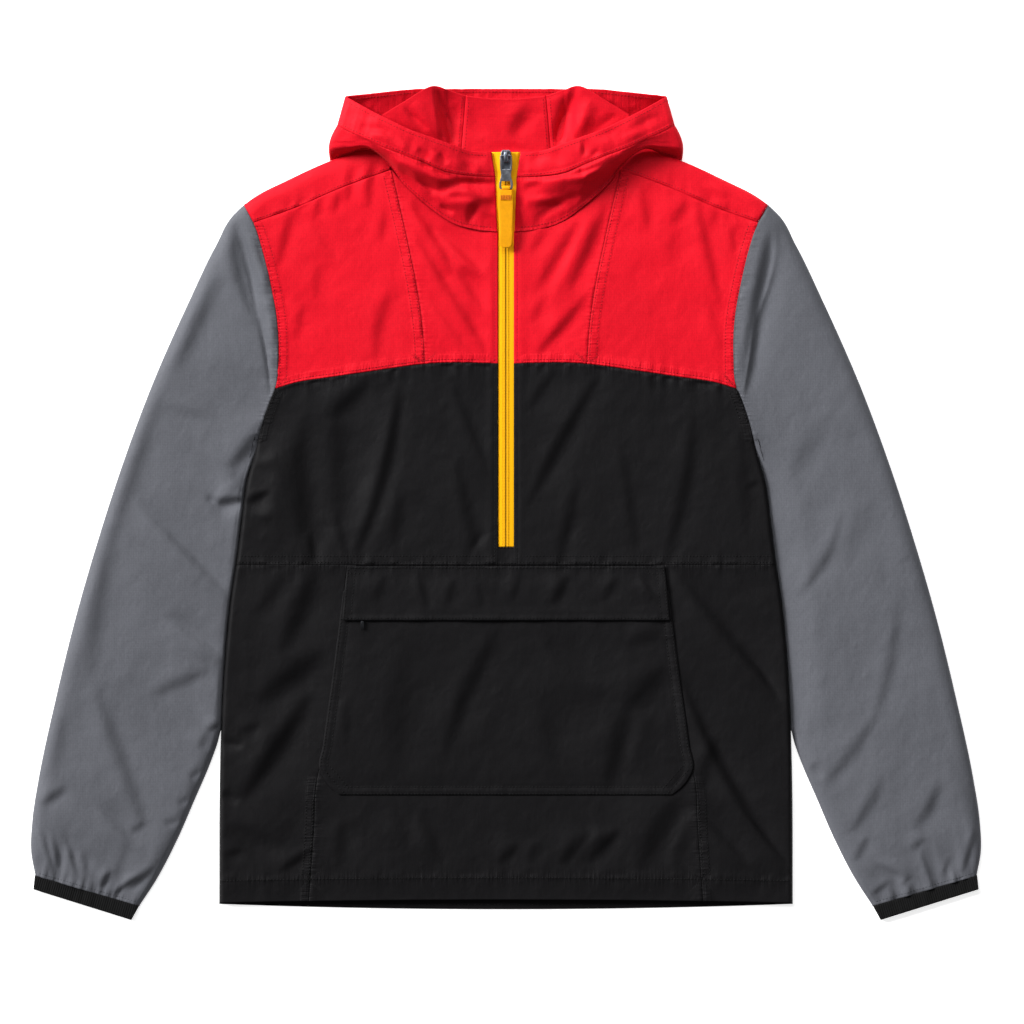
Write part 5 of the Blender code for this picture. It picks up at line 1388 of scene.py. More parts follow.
# %% Creases and slumps of the hood, rows as on the front
HOOD_FOLDS = (
    (-116, 345, -54, 320, 4, 6, 2.4, 0.2), (-108, 334, -56, 309, 4, 5, -2.5, 0.5),
    (-68, 313, -8, 318, -4, 6, -2.2, 0.3), (-64, 299, -10, 307, 2, 6, 1.7, 0.1),
    (-66, 297, -52, 290, 0, 3, -1.9, 0.5), (-24, 302, -40, 281, 0, 5, -1.1, 0.2),
    (-88, 352, -76, 341, 0, 4, -1.7, 0.4), (-68, 347, -58, 338, 0, 4, -1.7, 0.4),
    (-88, 340, -74, 333, 0, 3, -2.2, 0.6), (-78, 336, -52, 326, 2, 3, -1.8, 0.4),
    (-44, 338, -30, 331, 0, 4, -1.0, 0.3), (-100, 328, -76, 308, -2, 4, 1.4, 0.2),
    (-158, 392, -128, 384, 3, 5, -0.9, 0.1), (-150, 378, -122, 372, 2, 4, -0.8, 0.3),
    (-136, 366, -116, 361, -2, 4, 1.0, 0.2), (-46, 350, -20, 342, 2, 5, -0.8, 0.2),
    (117, 343, 76, 305, 5, 6, -2.6, 0.4), (84, 309, 28, 284, 4, 6, -2.2, 0.3),
    (100, 336, 22, 320, -5, 7, 2.1, 0.1), (52, 324, 98, 338, 2, 4, -2.0, 0.4),
    (76, 362, 79, 345, 0, 3, -1.4, 0.7), (94, 352, 84, 345, 0, 3, -1.3, 0.5),
    (72, 334, 78, 324, 0, 3, -1.2, 0.5), (18, 300, 48, 302, -2, 6, 1.4, 0.1),
    (60, 300, 30, 296, 0, 4, -1.0, 0.3), (140, 370, 116, 361, 2, 5, 1.0, 0.1),
    (156, 384, 130, 374, 3, 5, -0.9, 0.2), (44, 348, 22, 338, 2, 5, -0.9, 0.2),
    (112, 372, 90, 362, 0, 5, -0.8, 0.1))
HOOD_SLUMPS = (
    (-112, 338, -60, 315, -4, 9, 2.6), (-62, 307, -12, 300, -3, 8, 2.2), (-74, 352, -62, 341, 0, 6, 2.2),
    (-92, 330, -70, 304, 3, 9, 2.4), (-34, 300, -40, 276, 0, 6, 1.6), (-146, 386, -112, 370, 2, 8, 1.4),
    (120, 345, 74, 300, 4, 10, 3.4), (100, 332, 52, 322, -3, 9, 2.4), (70, 302, 30, 284, 3, 9, 2.2),
    (78, 362, 74, 342, 0, 6, 2.0), (148, 388, 118, 368, 2, 9, 1.4), (56, 354, 30, 344, 0, 8, 1.4),
    (-128, 380, -104, 352, 3, 8, 2.2), (-106, 366, -86, 344, 2, 7, 2.4), (-54, 352, -34, 330, 2, 8, 1.8),
    (-26, 346, -14, 330, 0, 8, 1.6), (98, 372, 108, 352, 0, 7, 1.8), (40, 352, 52, 334, 0, 8, 1.8),
    (-40, 322, -14, 288, 3, 10, 2.6), (-104, 322, -58, 292, 2, 9, 2.4), (108, 336, 84, 308, 2, 9, 2.2),
    (46, 330, 16, 314, 0, 9, 2.4), (22, 308, 60, 312, 0, 8, 1.4))
INSIDE_SLUMPS = (
    (-69, 415, -51, 356, 2, 8.5, 4.8), (63, 415, 50, 358, 0, 15, 4.1), (-104, 396, -84, 370, 0, 8, 1.2),
    (-36, 396, -22, 362, 2, 10, 1.0), (24, 400, 2, 366, 2, 12, 1.1), (92, 396, 76, 366, 0, 12, 1.4))
INSIDE_FOLDS = (
    (-70, 412, -53, 358, 0, 5, -3.0, 0.5), (-101, 393, -76, 372, 0, 3, -1.1, 0.8),
    (-92, 400, -66, 366, 2, 7, 1.2, 0.1), (-52, 398, -44, 380, 0, 5, -0.8, 0.1),
    (-38, 392, -24, 366, 3, 7, -0.8, 0.1), (34, 394, 8, 362, 3, 8, -1.0, 0.2),
    (20, 398, -6, 374, 0, 9, 0.8, 0.0), (66, 408, 50, 358, 0, 7, -3.2, 0.4),
    (84, 404, 70, 366, 0, 6, 1.4, 0.1), (112, 388, 84, 370, 0, 5, -0.9, 0.3),
    (-18, 356, 34, 352, 0, 5, -0.7, 0.2))
print("folds of the hood:", sum(map(len, (HOOD_FOLDS, HOOD_SLUMPS, INSIDE_SLUMPS, INSIDE_FOLDS))))


# %% Reading the stations
def read_table(rows, columns, places):
    """The columns of a table, read smoothly at places counted in rows."""
    table, index = np.array(rows, float), np.arange(len(rows), dtype=float)
    return {name: smooth_line(np.stack([index, table[:, k]], axis=1))(places)
            for k, name in enumerate(columns)}


def from_to(row, start, end, t):
    """x, y and z at share t of the straight way between two lines of a table."""
    return [row[f"{start}_{axis}"] + (row[f"{end}_{axis}"] - row[f"{start}_{axis}"]) * t for axis in "xyz"]


def arch(low, middle, high, t):
    """The parabola through low at t = 0, middle at 0.5 and high at 1."""
    return low * (1 - t) * (1 - 2 * t) + 4 * middle * t * (1 - t) + high * t * (2 * t - 1)


def edge_calm(t, width=0.12):
    """0 at both ends of 0..1 and 1 between, so that sewn edges keep their places."""
    return soft_step(t / width) * soft_step((1 - t) / width)


# %% Outer hood
def hood_side_points(places, t, side):
    """The outer side of the hood at station places and t from the neck seam to the band seam.

    Near the zip its height is an arch; towards the shoulder it hangs over the neck: a steep bank up
    to the share `hang` of its width, then a gentle slope up to the band seam.
    """
    row = read_table(HOOD_STATIONS, HOOD_COLUMNS, places)
    turn = np.sin(math.pi * t) * soft_step((places - 6.6) / 1.4)
    x, y, _ = from_to(row, "low", "seam", t)
    x = x + 4.2 * turn
    y = y - 1.3 * np.clip(1 - t / 0.1, 0, 1) * soft_step((5.4 - places) / 0.4)
    z = arch(row["low_z"], row["belly_z"], row["seam_z"], t)
    hang = np.interp(places, (5.0, 6.0, 7.0, 8.0), (0.3, 0.22, 0.36, 0.38))
    top = row["seam_z"] - 3.0
    hung = row["low_z"] + (top - row["low_z"]) * soft_step(t / hang) ** 0.8
    hung = hung + 3.0 * np.clip((t - hang) / (1 - hang), 0, 1)
    z = z + (hung - z) * soft_step((places - 4.9) / 0.9) * soft_step((8.95 - places) / 0.3)
    folds = crease_heights(side * x, y, HOOD_FOLDS, 1.8) + crumple(side * x * 1.4, y * 1.4, 41)
    folds = folds + slump_heights(side * x, y, HOOD_SLUMPS)
    calm = edge_calm(t) * soft_step((8.6 - places) / 1.2)
    pucker = swells(places * STATION_PITCH, 0 * x, 5.0, 45 + side)
    edges = (0.6 * bell(t, 0.03) * soft_step((5.4 - places) / 0.4)
             - 0.5 * bell(1 - t, 0.035)
             + 0.4 * pucker * np.exp(-t / 0.16) * soft_step(t / 0.05)
             + 0.3 * pucker * np.exp(-(1 - t) / 0.16) * soft_step((1 - t) / 0.05))
    z = z + folds * 1.2 * calm + edges * soft_step(9.0 - places)
    return np.stack([side * x, y, np.maximum(z, HOOD_CLEAR)], -1)


def hood_band_points(places, t, side):
    """The band of the face opening, from its seam to its rim, plump between two stitch lines."""
    row = read_table(HOOD_STATIONS, HOOD_COLUMNS, places)
    x, y, z = from_to(row, "seam", "rim", t)
    z = z + 4 * 1.2 * t * (1 - t)
    pucker = swells(places * STATION_PITCH, t * 3, 7.0, 51 + side)
    plump = np.sin(math.pi * np.clip(t, 0, 1))
    relief = (-0.6 * bell(t, 0.045) - 0.4 * bell(t - 0.15, 0.05)
              + 0.55 * pucker * plump ** 0.7)
    relief = relief + 0.9 * crease_heights(side * x, y, HOOD_FOLDS, 1.8)
    relief = relief + 0.9 * slump_heights(side * x, y, HOOD_SLUMPS) * plump
    z = z + relief * soft_step(9.0 - places)
    return np.stack([side * x, y, np.maximum(z, HOOD_CLEAR)], -1)


def make_outer_hood(word, side):
    """One side panel and its band."""
    places = join(np.linspace(0, 8, 105), np.linspace(8.04, 9, 16))
    width, band = 52.0, 26.0
    t = fine(width, 1.9)[:, None]
    made_side = shell(f"hood side {word}", hood_side_points(places, t, side), red_nylon,
                      sewn=(places * STATION_PITCH, width * np.minimum(t, 1 - t) + 0 * places))
    t = fine(band, 1.6)[:, None]
    made_band = shell(f"hood band {word}", hood_band_points(places, t, side), red_nylon, wall=1.0,
                      sewn=(places * STATION_PITCH, 4 + band * np.minimum(t, 1 - t) + 0 * places))
    return made_side, made_band


print("top of the hood, mm:", np.round(hood_band_points(5.0, 0.9, 1)[2], 1))


# %% Inside of the hood
INSIDE_SEAM = 1.95         # station of the seam between the centre and the sides


def inside_points(places, t, side):
    """The inside of the hood, from the nape seam to the fold: a cubic through four heights.

    Between stations 3 and 4 a sine bends the places, so the deep fold there is steeper.
    """
    folded = places + 0.42 * np.sin(2 * math.pi * (places - 3)) / math.pi * (np.abs(places - 3.5) < 0.5)
    row = read_table(INSIDE_STATIONS, INSIDE_COLUMNS, places)
    high = read_table(INSIDE_STATIONS, INSIDE_COLUMNS, folded)
    row["low_z"], row["mid_z"], row["fold_z"] = high["low_z"], high["mid_z"], high["fold_z"]
    x, y, _ = from_to(row, "nape", "fold", t)
    z = (row["nape_z"] * (1 - t) * (1 - 3 * t) * (1 - 1.5 * t)
         + 13.5 * row["low_z"] * t * (1 - t) * (2 / 3 - t)
         + 13.5 * row["mid_z"] * t * (t - 1 / 3) * (1 - t)
         + row["fold_z"] * 4.5 * t * (t - 1 / 3) * (t - 2 / 3))
    folds = crease_heights(side * x, y, INSIDE_FOLDS, 1.8) + 0.8 * crumple(side * x * 1.3, y * 1.3, 47)
    folds = folds + slump_heights(side * x, y, INSIDE_SLUMPS)
    seam = np.abs(places - INSIDE_SEAM) * 14
    groove = -0.6 * bell(seam, 1.5)
    return np.stack([side * x, y, z + edge_calm(t) * folds + groove * edge_calm(t, 0.05)], -1)


def make_hood_centre():
    """The centre of the inside, from seam to seam."""
    t = fine(60.0, 1.9)[:, None]
    half = np.linspace(0, INSIDE_SEAM, 26)
    grid = join(inside_points(half[::-1], t, -1), inside_points(half[1:], t, 1), axis=1)
    return shell("hood inside centre", grid, red_nylon)


def back_band_row(places):
    """The far band's table at places, its top edge raised away from the middle."""
    row = read_table(BACK_BAND_STATIONS, BACK_BAND_COLUMNS, places)
    row["top_z"] = row["top_z"] + 7.5 * soft_step(row["top_x"] / 90)
    return row


def make_back_band():
    """The far edge of the opening: a plump band, both halves in one grid."""
    row = back_band_row(np.linspace(0, 5, 90))
    t = fine(21.0, 1.7)[:, None]
    half = np.stack(from_to(row, "low", "top", t), -1)
    full = join(half[:, :0:-1] * np.array([-1, 1, 1]), half, axis=1)
    pucker = swells(full[..., 0], full[..., 1], 5.5, 55) + 0.6 * swells(full[..., 0], 0 * t, 11.0, 56)
    full[..., 2] += 0.7 * pucker * np.sin(math.pi * t) ** 0.6
    return shell("hood back band", full, red_nylon, wall=1.0, sewn=(full[..., 0], 4.0 + 0 * full[..., 0]))


# %% Pieces of the hood
def make_crown():
    """The folded crown: two faces 3 mm apart, rounded at the edge."""
    across, along = 2 * fine(330.0, 5.0, (0.5, 1.5, 3.0), (0.5, 1.5, 3.0)) - 1, fine(246.0, 5.0)
    s, t = np.meshgrid(across, along)
    y = CROWN_HALF[0][0] + (CROWN_HALF[-1][0] - CROWN_HALF[0][0]) * t
    x = s * crown_half(y)
    ends = np.minimum(y - CROWN_HALF[0][0], CROWN_HALF[-1][0] - y)
    near = np.minimum(crown_half(y) * (1 - np.abs(s)), ends)
    half = CROWN_THICK / 2 * (0.1 + 0.9 * rolled(np.maximum(near, 0), 6.0))
    middle = CROWN_THICK / 2
    return shell("hood crown cloth", np.stack([x, y, middle + half], -1), red_nylon,
                 inner=np.stack([x, y, middle - half], -1))


hood = {}
for word, side in SIDES:
    hood["side_" + word], hood["band_" + word] = make_outer_hood(word, side)
    grid = inside_points(np.linspace(INSIDE_SEAM + 0.01, 6, 84), fine(60.0, 1.9)[:, None], side)
    hood["inner_side_" + word] = shell(f"hood inside {word}", grid, red_nylon)
hood["inner_centre"] = make_hood_centre()
hood["back_band"] = make_back_band()
crown = make_crown()
print("hood:", list(hood))

# %% [markdown]
# ## Zip
#
# The zip is set in with its coil on the wrong side, so its face shows two plain tapes that meet in a
# dark line. It ends in a stitched box at the bottom. At the top the tapes splay apart above the
# slider, over the edge of the hood. The pull is a cast plate with two windows, and a webbing tab is
# looped through the lower one and held by an orange bar tack.

# %% Zip chain
def zip_height(y):
    """Height of the front at the zip, on the body and then up the hood's front edge."""
    row = dict(zip(HOOD_COLUMNS, HOOD_STATIONS[0]))
    t = (y - row["low_y"]) / (row["seam_y"] - row["low_y"])
    standing = arch(row["low_z"], row["belly_z"], row["seam_z"], np.clip(t, 0, 1))
    upper = row["seam_z"] + (row["rim_z"] - row["seam_z"]) * np.clip((y - row["seam_y"]) / 25.0, 0, 1)
    standing = np.where(y > row["seam_y"], upper, standing)
    body = front_height(np.zeros(np.shape(y)), y, 0.0)
    return np.where(y < row["low_y"], body, standing)


def make_zip():
    """A band of tape: sunk under the cloth at its sides, raised over the coil, with a middle groove."""
    y = join(np.linspace(ZIP_END_Y, 268, 210), np.linspace(269, ZIP_TOP_Y, 75))
    half = np.array([0.0, 0.35, 0.8, 1.6, 2.4, 3.0, 3.4, 3.9, 5.0, 6.4, 7.6, 9.5, 13.0])
    depth = np.array([1.3, 1.12, 0.98, 0.9, 0.92, 0.98, 1.06, 1.14, 1.2, 1.26, 1.4, 1.7, 1.7])
    s, rows = np.meshgrid(mirrored(half), y)
    splay = soft_step((rows - 338) / 12)
    x = s + np.sign(s) * splay * 1.2
    out_z = zip_height(rows) - mirrored(depth, 1) - 0.5 * splay * (np.abs(s) < 2)
    return shell("zip tape", np.stack([x, rows, out_z], -1), tape_finish, wall=0.8)


zip_chain = make_zip()
print("zip:", zip_chain.name)


# %% Plates
def plate(name, outline, thickness, finish, place, holes=(), bevel=0.5):
    """A flat plate from an outline of (across, along) points, cut by holes, then bevelled.

    place turns (across, along, height) into x, y, z. The plate is a strip between two chains of
    points with the same count; a hole is a gap in its middle strips.
    """
    across, along = np.array(outline, float).T
    columns = np.array([-1.0, -0.68, 0.68, 1.0])
    s, reach = np.meshgrid(columns, along)
    width = across[:, None]
    keep = np.ones((len(along) - 1, 3), bool)
    for row in holes:
        keep[row, 1] = False
    top = place(s * width, reach, thickness / 2)
    under = place(s * width, reach, -thickness / 2)
    made = shell(name, top, finish, keep=keep, inner=under)
    edge = made.modifiers.new("bevel", "BEVEL")
    edge.width, edge.segments, edge.limit_method = bevel * MM, 3, "ANGLE"
    edge.angle_limit = math.radians(40)
    return made


# %% Slider
PULL_AXIS = (345.2, 24.4)      # y and z of the axis that the pull swings on
PULL_SLOPE = 0.105             # how far the pull falls for each millimetre down the zip
SLIDER_TOP = 2.6               # height of the slider's upper face above the zip


def on_pull(x, reach, height):
    """A point on the pull: reach from the axis along it, and height above its middle plane."""
    y0, z0 = PULL_AXIS
    turn = math.atan(PULL_SLOPE)
    return np.stack([x, y0 - reach * math.cos(turn) - height * math.sin(turn),
                     z0 - reach * math.sin(turn) + height * math.cos(turn)], axis=-1)


def make_slider():
    """The slider's body, a plate on the coil, and the arched bridge that holds the pull."""
    rows = ((4.0, 331.0), (5.0, 332.5), (5.4, 338.0), (5.4, 346.0), (4.8, 350.5), (3.2, 352.0))
    body = plate("slider body", rows, 2.3, metal_finish,
                 lambda x, y, h: np.stack([x, y, zip_height(y) + SLIDER_TOP - 1.15 + h], -1))
    y0, z0 = PULL_AXIS
    angle = np.linspace(0, math.pi, 19)
    outer_y, outer_z = 5.9 * np.cos(angle), 3.4 * np.sin(angle) ** 0.6
    inner_y, inner_z = 4.6 * np.cos(angle), 2.1 * np.sin(angle) ** 0.6
    s, k = np.meshgrid([-2.2, -1.9, 1.9, 2.2], range(19), indexing="ij")
    round_off = np.array([0.35, 0.0, 0.0, 0.35])[:, None]
    low = np.where((k == 0) | (k == 18), -2.4, 0.0)
    top = np.stack([s, y0 + outer_y[k], z0 + outer_z[k] - round_off + low], -1)
    under = np.stack([s, y0 + inner_y[k], z0 + inner_z[k] + low], -1)
    bridge = shell("slider bridge", top, metal_finish, inner=under)
    bridge.parent = body
    return body


slider = make_slider()
print("slider and", [part.name for part in slider.children])


# %% Pull and tab
def make_pull():
    """The cast pull: a plate with a window at the bridge and another for the webbing."""
    rows = ((4.4, -1.8), (5.6, -1.2), (6.0, -0.2), (6.0, 7.0), (5.8, 12.5), (5.2, 15.0), (4.9, 18.0),
            (5.3, 21.0), (6.3, 24.4), (6.9, 28.0), (6.7, 30.6), (6.1, 31.9), (4.8, 32.8))
    return plate("zip pull", rows, 1.6, pull_finish, on_pull, holes=(2, 3, 8, 9), bevel=0.4)


def make_tab():
    """The webbing: a strip doubled round the end bar, narrowing to a rounded tip."""
    reach = join([33.4, 34.2, 35.5], np.linspace(38, 84, 24), [86.5, 88.6, 90.0, 90.6])
    width = smooth_line(((33, 6.6), (38, 7.2), (66, 7.0), (82, 6.8), (86.5, 6.5), (88.6, 5.6),
                         (90.0, 4.1), (90.7, 2.4)))(reach)
    half = smooth_line(((33, 1.7), (36, 1.9), (46, 1.35), (66, 1.15), (85, 1.05), (90.7, 0.7)))(reach)
    s, along = np.meshgrid(mirrored(np.array([0, 0.35, 0.7, 0.88, 0.96, 1])), reach)
    edge = 0.25 + 0.75 * rolled(1 - np.abs(s), 0.16)
    high = half[:, None] * edge
    top, under = on_pull(s * width[:, None], along, high), on_pull(s * width[:, None], along, -high)
    tab = shell("pull tab webbing", top, webbing_finish, inner=under)
    turn = np.linspace(-0.85 * math.pi, 0.85 * math.pi, 22)
    s, angle = np.meshgrid(np.array([-4.1, -3.6, 0, 3.6, 4.1]), turn)
    outer, inner = 2.45 - 0.3 * (np.abs(s) > 4), 1.25

    def loop(radius):
        """Points on an oval round the pull's end bar."""
        return on_pull(s, 31.4 - radius * np.cos(angle), radius * 0.78 * np.sin(angle))

    loop_piece = shell("tab loop", loop(outer), webbing_finish, inner=loop(inner))
    loop_piece.parent = tab
    return tab


def make_pocket_pull():
    """The end of the pocket zip's pull, which shows below the flap."""
    rows = ((0.9, -126.0), (1.6, -124.8), (1.6, -120.5), (1.3, -118.0))

    def place(x, y, h):
        """Points on the pocket, near the flap's left corner."""
        x = -143.5 + x
        return np.stack([x, y, front_height(x, y, 0.6) + 2 * LAYER + 1.2 + h], -1)

    return plate("pocket zip pull", rows, 1.1, lacquer, place, bevel=0.3)


pull = make_pull()
tab = make_tab()
pocket_pull = make_pocket_pull()
print("pulls:", pull.name, tab.name, pocket_pull.name)

# %% [markdown]
# ## Stitching
#
# Every seam is topstitched. A stitch is a short plump thread that dips into the cloth at both ends,
# so a seam is the same small body repeated along a line, a little uneven in place and direction. All
# threads of one colour are one mesh, which is far lighter than thousands of objects.

# %% Stitches
STITCH_PITCH, STITCH_LENGTH = 3.3, 2.5


def stitches(name, lines, finish, radius=0.26, length=STITCH_LENGTH, pitch=STITCH_PITCH, seed=5):
    """One mesh of stitches along lines, each a row of points in millimetres on the cloth.

    A stitch is three rings of five points and two tips: half thickness radius * sin(pi t)^0.5.
    """
    centres, tangents = [], []
    random = np.random.default_rng(seed)
    for line in lines:
        steps = np.linalg.norm(np.diff(line, axis=0), axis=1)
        place = join([0], np.cumsum(steps))
        count = int(place[-1] / pitch)
        if count < 1:
            continue
        q = (np.arange(count) + 0.5) * place[-1] / count + random.uniform(-0.16, 0.16, count)
        ends = [np.stack([np.interp(q + shift, place, line[:, k]) for k in range(3)], -1)
                for shift in (-0.5 * length, 0.5 * length)]
        centres.append((ends[0] + ends[1]) / 2)
        tangents.append((ends[1] - ends[0]) / np.linalg.norm(ends[1] - ends[0], axis=1)[:, None])
    centre, tangent = join(*centres), join(*tangents)
    tangent = tangent + random.uniform(-0.05, 0.05, tangent.shape)
    tangent /= np.linalg.norm(tangent, axis=1)[:, None]
    across = np.cross(tangent, (0, 0, 1.0))
    across /= np.linalg.norm(across, axis=1)[:, None]
    up = np.cross(across, tangent)
    turn = np.arange(5) * 2 * math.pi / 5 + 0.3
    ring_place = np.repeat([-0.34, 0.0, 0.34], 5)
    ring_size = np.repeat([0.8, 1.0, 0.8], 5)
    local = np.stack([ring_place * length, np.tile(np.cos(turn), 3) * ring_size * radius * 1.15,
                      np.tile(np.sin(turn), 3) * ring_size * radius
                      - np.repeat([0.12, 0.0, 0.12], 5)], -1)
    tips = np.array([[-0.5 * length, 0, -0.4], [0.5 * length, 0, -0.4]])
    local = join(local, tips)
    points = (centre[:, None] + local[None, :, :1] * tangent[:, None]
              + local[None, :, 1:2] * across[:, None] + local[None, :, 2:] * up[:, None])
    k, n = np.arange(5), np.roll(np.arange(5), -1)
    faces = join(
        np.stack([k, k + 5, n + 5], -1), np.stack([k, n + 5, n], -1),
        np.stack([k + 5, k + 10, n + 10], -1), np.stack([k + 5, n + 10, n + 5], -1),
        np.stack([n, np.full(5, 15), k], -1), np.stack([k + 10, np.full(5, 16), n + 10], -1))
    every = (faces[None] + 17 * np.arange(len(centre))[:, None, None]).reshape(-1, 3)
    print(f"{name}: {len(centre)} stitches, {len(every)} triangles")
    return mesh_object(name, points.reshape(-1, 3), every, finish)


# %% Runs along a seam
def on_cloth(x, y, height, raised=0.12):
    """A line of points on a height surface."""
    x, y = np.broadcast_arrays(np.asarray(x, float), np.asarray(y, float))
    return np.stack([x, y, height(x, y) + raised], -1)


def sampled(start, end, step=1.5):
    """Places from start to end, about one step apart."""
    return np.linspace(start, end, max(2, int(abs(end - start) / step)))


def upright_run(line, start, end):
    """Beside x = line(y): gives x and y for a shift to the outside."""
    y = sampled(start, end)
    return lambda shift: (line(y) + shift, y)


def level_run(line, start, end):
    """Over y = line(x): gives x and y for a shift upwards."""
    x = sampled(start, end)
    return lambda shift: (x, line(x) + shift)


def always(value):
    """A straight line at one value."""
    return lambda _: value


def pocket_corner(shift):
    """The pocket's slanted lower corner, for a shift inwards."""
    q = np.linspace(0, 1, 16)
    return 163.0 - shift * 0.8 + 21 * q, POCKET_LOW_Y + 1.0 + shift * 0.62 + 24 * q


def back_face(x, y):
    """Inner face of the back, which shows below the front's hem."""
    return under_height(x, y) + WALL


# %% Topstitching of one half of the front: run, shifts, surface
RED_ROWS = (
    (level_run(chest_seam, ZIP_HALF + 2, 230.0), (3.4,), front_height),
    (upright_run(princess, 144.0, 326.0), (2.2, 9.0), front_height),
    (level_run(shoulder_line, 118.0, 250.0), (3.0,), front_height),
    (upright_run(side_edge, YOKE_SIDE_Y + 2, 278.0), (-2.4, -8.8), front_height),
    (upright_run(always(ZIP_HALF), 142.0, 269.0), (3.4,), placket_height))
BLACK_ROWS = (
    (upright_run(side_edge, 80.0, YOKE_SIDE_Y - 3), (-2.4, -8.8), front_height),
    (upright_run(always(ZIP_HALF), ZIP_END_Y - 16, 137.0), (3.4,), placket_height),
    (level_run(always(WAIST_Y), 12.0, 268.0), (2.6, 8.8), front_height),
    (upright_run(lower_seam, -372.0, -296.0), (2.2, 8.6), front_height),
    (level_run(hem_stitch, 2.0, 283.0), (0.0,), front_height),
    (level_run(back_hem, 2.0, 284.0), (4.5,), back_face),
    (upright_run(pocket_side, -264.0, FLAP_Y + 2), (-1.8, -8.6), pocket_height),
    (pocket_corner, (1.8, 8.4), pocket_height),
    (level_run(always(POCKET_LOW_Y), 2.0, 163.0), (1.2, 8.4), pocket_height),
    (level_run(always(FLAP_Y), 2.0, 160.0), (1.2,), flap_height),
    (upright_run(flap_side, FLAP_Y + 2, WAIST_Y - 3), (-1.6, -8.2), flap_height),
    (level_run(always(WAIST_Y), 141.0, 157.0), (-3.0, -8.6), flap_height),
    (upright_run(always(141.5), WAIST_Y - 8.6, WAIST_Y - 3.0), (0.0,), flap_height),
    (level_run(always(WAIST_Y), 2.0, 155.0), (-3.0,), flap_height))


def front_lines(rows):
    """The lines of a table's rows on the cloth, first those of the left half."""
    return [on_cloth(side * x, y, surface) for _, side in SIDES
            for run, shifts, surface in rows for x, y in map(run, shifts)]


def zip_box_lines():
    """The box at the zip's lower end: two rows across it."""
    x = sampled(-ZIP_HALF - 3, ZIP_HALF + 3)
    return [on_cloth(x, level, placket_height) for level in (ZIP_END_Y - 0.6, ZIP_END_Y - 16.0)]


# %% Topstitching of hood and sleeves
def hood_lines():
    """Topstitching of the hood: both edges of the band, the neck seam and the twin seams inside."""
    red = []
    for _, side in SIDES:
        places = np.linspace(0.25, 8.3, 260)
        for t in (0.1, 0.86):
            red.append(hood_band_points(places, np.full(260, t), side) + (0, 0, 0.15))
        red.append(hood_side_points(places, np.full(260, 0.07), side) + (0, 0, 0.15))
        t = np.linspace(0.04, 0.97, 60)
        for shift in (1.79, 2.14):
            red.append(inside_points(np.full(60, shift), t, side) + (0, 0, 0.15))
    x = sampled(-150.0, 150.0)
    row = back_band_row(np.abs(x) / 150.0 * 5)
    for t in (0.14, 0.86):
        _, y, z = from_to(row, "low", "top", t)
        red.append(np.stack([x, y, z + 0.5], -1))
    return red


def sleeve_lines():
    """One row crosses each sleeve just above the cuff."""
    grey = []
    for _, side in SIDES:
        q = np.linspace(0.03, 0.97, 70)
        (ax, ay), (bx, by) = CUFF_TOP
        x, y = ax + (bx - ax) * q - 0.6, ay + (by - ay) * q + 3.2
        grey.append(on_cloth(side * x, y, sleeve_height))
    return grey


red_stitching = stitches("red topstitching", front_lines(RED_ROWS) + hood_lines(), red_thread,
                         radius=0.3)
black_stitching = stitches("black topstitching", front_lines(BLACK_ROWS) + zip_box_lines(), black_thread,
                           radius=0.42, seed=6)
grey_stitching = stitches("grey topstitching", sleeve_lines(), grey_thread, seed=7)
across_tab = [on_pull(np.linspace(-5.6, 5.6, 12), np.full(12, reach), 1.9)
              for reach in (38.6, 39.6, 40.6, 41.6, 42.6)]
bar_tack = stitches("bar tack", across_tab, tack_thread, radius=0.42, length=1.9, pitch=1.5, seed=8)

# %% [markdown]
# ## Floor
#
# The garment lies on a pale floor. It glows faintly, like a light table, so that the garment's shadow
# doesn't reach far.

# %% Floor
FLOOR_HALF, FLOOR_Z = 9000.0, -0.3


def make_floor():
    """A wide square just below the garment, with a faint grain."""
    made, shader, place = start_material("pale floor", (0.90, 0.90, 0.90), 0.8,
                                         Emission_Color=(1.0, 1.0, 1.0, 1.0), Emission_Strength=0.7)
    grain = noise(place, 40.0, 3.0, 0.6)
    plug(mix(grain, (0.885, 0.885, 0.885, 1), (0.915, 0.915, 0.915, 1)), shader, "Base Color")
    plug(0.78 + grain * 0.06, shader, "Roughness")
    plug(bump(grain, 0.0001, 0.2), shader, "Normal")
    corners = ((-1, -1), (1, -1), (1, 1), (-1, 1))
    points = np.array([(x * FLOOR_HALF, y * FLOOR_HALF, FLOOR_Z) for x, y in corners])
    return mesh_object("floor", points, np.array([[0, 1, 2, 3]]), made, smooth=False)


floor = make_floor()
print("stage:", floor.name)

# %% [markdown]
# ## Attaching the pieces
#
# Each cloth panel is a sheet that was cut flat and then sewn and laid down. Its flat size is the
# piece of cloth that it is cut from; where the cut isn't a rectangle, its area is given as well. Every
# piece rides on the garment, but the pull, its tab and the tab's bar tack, which swing on the slider.

# %% Sheet helpers
EASE = 1.06                # cloth in the finest puckers, which the mesh doesn't carry


def declare(piece, body, finish_slot, node=None):
    """What a piece rides on, and the node that it replaces, if there is one; its slot is not used."""
    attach(piece, body)
    if node is not None:
        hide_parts(node)


def measured_area(piece):
    """Half the surface of a thin closed shell, in square centimetres."""
    areas = np.empty(len(piece.data.polygons))
    piece.data.polygons.foreach_get("area", areas)
    return float(areas.sum()) / 2 * 1e4


def both(row):
    """The rows of the left and the right piece, from a function of the side's word."""
    return [row(word) for word, _ in SIDES]


